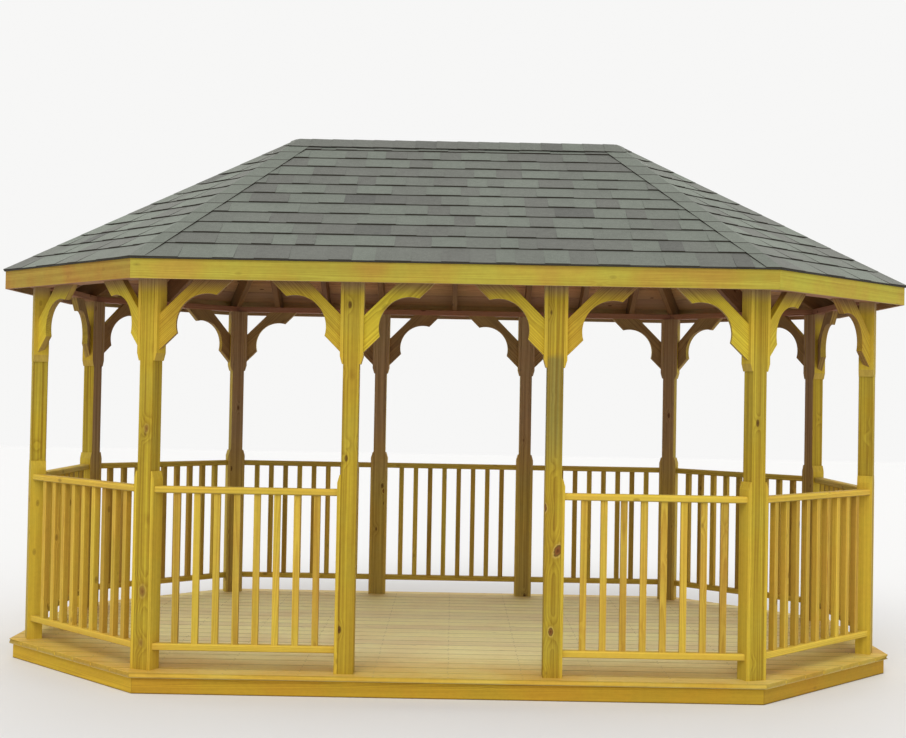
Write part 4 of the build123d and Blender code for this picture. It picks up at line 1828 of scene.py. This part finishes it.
    def starter(self, shells: Shells, index: int) -> None:
        """Add the thin strip under the first course.

        Args:
            shells: where it goes.
            index: number of the side.
        """
        face = self.face(index)
        (low, _), (high, _) = self.starter_ends
        section = np.array([(low, self.bed), *self.starter_ends, (high, self.bed)])
        stops = [0.0, 1.0]
        self.tab(shells, face, [section] * 2, *mitres(face.hip), stops, self.starter_tone, 0.0, 1.0)

    def build(self) -> None:
        """Shingle every face."""
        finish = SHINGLE_FINISH.material(self.groups)
        for name, sides in ROOF_SIDES.items():
            shells = Shells()
            for index in sides:
                self.starter(shells, index)
                first, exposure = self.courses(index)
                top = self.face(index).slope_length
                ups = [0.0, *np.arange(first, top - self.ridge_gap, exposure)]
                for up, after in zip(ups, [*ups[1:], top]):
                    self.course(shells, index, up, after - up)
                self.folds(shells, index)
            shells.piece(f"shingles_{name}_tabs", finish, "shingles", [f"shingles_{name}"], smooth=False)


@dataclass
class RidgeCap:
    """Cap shingles folded over the ridge, each lapping the next, with the end ones bent over the hips."""

    groups: Groups
    reach: float = 0.150
    exposure: float = 0.146
    tuck: float = 0.040
    end_reach: float = 0.055
    thickness: float = 0.0035
    lift: float = 0.0160
    fold: float = 0.020
    butt_lift: float = 0.0030
    uneven: float = 0.002
    tones: tuple[float, float] = (0.42, 0.14)
    across_points: int = 17
    along_rings: int = 7
    rng: np.random.Generator = seeded(29)

    def height(self, x: Array, y: Array) -> Array:
        """Height of the cap's underside: the roof plane at the smoothed distance sqrt(d^2 + f^2)."""
        distance = np.sqrt(PLAN.distance(x, y) ** 2 + self.fold ** 2)
        return PLAN.peak + (PLAN.board_high + self.lift) - distance * PLAN.rise

    def cap(self, shells: Shells, start: float, end: float) -> None:
        """Add one cap: a thin sheet over a strip of the ridge, lifted towards its butt.

        Args:
            shells: where it goes.
            start: x of its butt.
            end: x of its tucked end.
        """
        reach = self.reach + self.rng.uniform(-self.uneven, self.uneven)
        across = np.linspace(-1, 1, self.across_points)
        y = np.concatenate([across, across[::-1]]) * reach
        upper = np.concatenate([np.ones_like(across), np.zeros_like(across)])
        x = np.linspace(start, end, self.along_rings)[:, None] + 0 * y
        away = np.abs(x - start) / abs(end - start)
        rise = self.thickness * upper + self.butt_lift * (1 - away)
        grid = np.stack([x, y + 0 * x, self.height(x, y + 0 * x) + rise], -1)
        shells.add(grid, np.zeros_like(grid), float(np.clip(self.rng.normal(*self.tones), 0, 1)))

    def build(self) -> None:
        """Make the row of caps."""
        shells = Shells()
        half = PLAN.ridge_half + self.end_reach
        count = math.ceil(2 * half / self.exposure)
        step = 2 * half / count
        for n in range(count):
            start = -half + n * step
            self.cap(shells, start, min(start + step + self.tuck, half))
        finish = SHINGLE_FINISH.material(self.groups)
        shells.piece("ridge_cap_shingles", finish, "shingles", ["ridge_cap"], smooth=False)


@dataclass
class KeptSolids:
    """Solids that keep their own mesh: posts, blocks, joists, peak blocks and the ridge board."""

    groups: Groups
    heart_drift: float = 0.02
    plain_tone: float = 0.5
    upright: SolidLook = SolidLook("upright", GrainRuns.UPRIGHT, (0.013, 0.007), 0.55)
    level: SolidLook = SolidLook("level", GrainRuns.LEVEL, (0.02, -0.03), 0.5)
    rng: np.random.Generator = seeded(31)
    tones: dict[str, float] = field(default_factory=lambda: {
        "post_front_1": 0.45, "post_front_2": 0.40, "post_front_3": 0.35, "post_front_4": 0.50,
        "post_left_front": 0.75, "post_left_back": 0.6, "post_back_2": 0.8, "post_back_3": 0.7})
    knots: dict[str, list[SetKnot]] = field(default_factory=lambda: {
        "post_front_1": [SetKnot(-1.675, -1.545, 1.433, 0.014, 0.0, 0.5),
                         SetKnot(-1.678, -1.545, 0.544, 0.020, 0.0, 0.5),
                         SetKnot(-1.680, -1.545, 0.263, 0.012, 0.0, 0.3)],
        "post_front_3": [SetKnot(0.587, -1.5685, 0.808, 0.022, 0.40), SetKnot(0.556, -1.5685, 0.367, 0.015),
                         SetKnot(0.510, -1.5685, 1.041, 0.015)],
        "post_left_front": [SetKnot(-2.540, -0.680, 0.965, 0.011), SetKnot(-2.545, -0.680, 0.744, 0.011)],
        "post_back_2": [SetKnot(-0.519, 1.4795, 0.905, 0.012)],
    })
    worn: dict[str, DullHeight] = field(default_factory=lambda: {
        "post_front_3": DullHeight(1.21, 1.67, 1.875, 1.935)})

    def finish(self, name: str, material: bpy.types.Material) -> None:
        """Put a material on a solid.

        Args:
            name: name of the solid's node.
            material: the material.
        """
        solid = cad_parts[name]
        if not solid.material_slots:
            solid.data.materials.append(material)
        solid.material_slots[0].material = material
        log.info("%s: finished in %s", name, material.name)

    def build(self) -> None:
        """Finish every kept solid. Each post has its own log, with the heart near its middle."""
        for name in sorted(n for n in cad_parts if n.startswith("post_")):
            low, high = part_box(name)
            middle = (low + high) / 2
            heart = tuple(middle[axis] + self.rng.uniform(-self.heart_drift, self.heart_drift)
                          for axis in (0, 1))
            look = SolidLook(name, GrainRuns.UPRIGHT, heart, self.tones.get(name, self.plain_tone),
                             self.knots.get(name, ()), self.worn.get(name))
            self.finish(name, POST_FINISH.material(self.groups, look))
        upright = BLOCK_FINISH.material(self.groups, self.upright)
        level = FRAME_FINISH.material(self.groups, self.level)
        for name in ("brace_blocks", "rail_blocks", "peak_blocks"):
            self.finish(name, upright)
        for name in ("floor_joists", "ridge_board"):
            self.finish(name, level)


# Floor, light and camera

@dataclass(frozen=True)
class Lamp:
    """One broad, distant lamp: its power, where it stands and how wide it looks."""

    name: str
    strength: float
    elevation: float
    azimuth: float
    spread: float
    colour: Vector = (1.0, 0.985, 0.95)

    def build(self) -> None:
        """Place the lamp. Azimuth 0 is the camera's side."""
        lamp = bpy.data.lights.new(self.name, "SUN")
        lamp.energy = self.strength
        lamp.angle = math.radians(self.spread)
        lamp.color = self.colour
        thing = bpy.data.objects.new(self.name, lamp)
        thing.rotation_euler = (math.radians(90 - self.elevation), 0.0, math.radians(self.azimuth))
        bpy.context.scene.collection.objects.link(thing)


@dataclass
class Studio:
    """A plain pale floor and backdrop, soft light, and the camera at the photograph's viewing angle."""

    floor_size: float = 60.0
    floor_colour: Colour = (0.78, 0.78, 0.775, 1.0)
    floor_roughness: float = 0.9
    backdrop: Colour = (0.930, 0.928, 0.922, 1.0)
    ambient: Colour = (0.99, 0.99, 1.0, 1.0)
    ambient_strength: float = 0.84
    lamps: tuple[Lamp, ...] = (Lamp("Key", 0.95, 50.0, -14.0, 36.0),
                               Lamp("Low front", 0.30, 14.0, 10.0, 60.0),
                               Lamp("Back", 0.68, 26.0, 172.0, 60.0))
    camera_place: Vector = (0.0050, -9.0686, 1.6383)
    camera_yaw: float = -0.00091
    camera_pitch: float = 0.02008
    camera_roll: float = 0.0182
    lens: float = 54.545
    sensor: float = 36.0

    def floor(self) -> None:
        """The floor: one flat square."""
        half = self.floor_size / 2
        mesh = bpy.data.meshes.new("studio_floor")
        corners = [(-half, -half, 0.0), (half, -half, 0.0), (half, half, 0.0), (-half, half, 0.0)]
        mesh.from_pydata(corners, [], [(0, 1, 2, 3)])
        material, _, shader = new_material("Studio floor")
        shader.inputs["Base Color"].default_value = self.floor_colour
        shader.inputs["Roughness"].default_value = self.floor_roughness
        mesh.materials.append(material)
        plane = bpy.data.objects.new("studio_floor", mesh)
        bpy.context.scene.collection.objects.link(plane)

    def world(self) -> None:
        """The backdrop: pale to the camera and to reflections, and weak ambient light to all else."""
        world = bpy.data.worlds.new("Studio")
        bpy.context.scene.world = world
        world.use_nodes = True
        g = Graph(world.node_tree)
        world.node_tree.nodes.clear()
        path = g.node("LightPath").outputs
        seen = g.math("MAXIMUM", path["Is Camera Ray"], path["Is Glossy Ray"])
        seen = g.math("MAXIMUM", seen, path["Is Transmission Ray"])
        light = g.node("Background", {"Color": self.ambient, "Strength": self.ambient_strength}).outputs[0]
        pale = g.node("Background", {"Color": self.backdrop, "Strength": 1.0}).outputs[0]
        blend = g.node("MixShader", {0: seen, 1: light, 2: pale}).outputs[0]
        g.node("OutputWorld", {"Surface": blend})

    def camera(self) -> None:
        """The camera: right, up and back axes from its yaw, pitch and roll."""
        yaw, pitch = self.camera_yaw, self.camera_pitch
        right = np.array([math.cos(yaw), -math.sin(yaw), 0.0])
        level = np.array([math.sin(yaw), math.cos(yaw), 0.0])
        ahead = level * math.cos(pitch) + np.array([0.0, 0.0, math.sin(pitch)])
        up = np.cross(right, ahead)
        sin, cos = math.sin(self.camera_roll), math.cos(self.camera_roll)
        axes = np.column_stack([right * cos + up * sin, up * cos - right * sin, -ahead])
        data = bpy.data.cameras.new("Camera")
        data.lens = self.lens
        data.sensor_width = self.sensor
        thing = bpy.data.objects.new("Camera", data)
        matrix = Matrix(axes.tolist()).to_4x4()
        matrix.translation = self.camera_place
        thing.matrix_world = matrix
        bpy.context.scene.collection.objects.link(thing)
        bpy.context.scene.camera = thing

    def build(self) -> None:
        """Set up the whole studio."""
        bpy.context.scene.view_settings.view_transform = "Standard"
        self.floor()
        self.world()
        for lamp in self.lamps:
            lamp.build()
        self.camera()


def main() -> None:
    """Build every sub-assembly in order."""
    logging.basicConfig(level=logging.INFO, format="%(name)s: %(message)s")
    Studio().build()
    groups = Groups()
    KeptSolids(groups).build()
    Floor(groups).build()
    Railings(groups).build()
    Braces(groups).build()
    RoofFrame(groups).build()
    RoofBoards(groups).build()
    Eaves(groups).build()
    Shingles(groups).build()
    RidgeCap(groups).build()


if __name__ == "__main__":
    main()
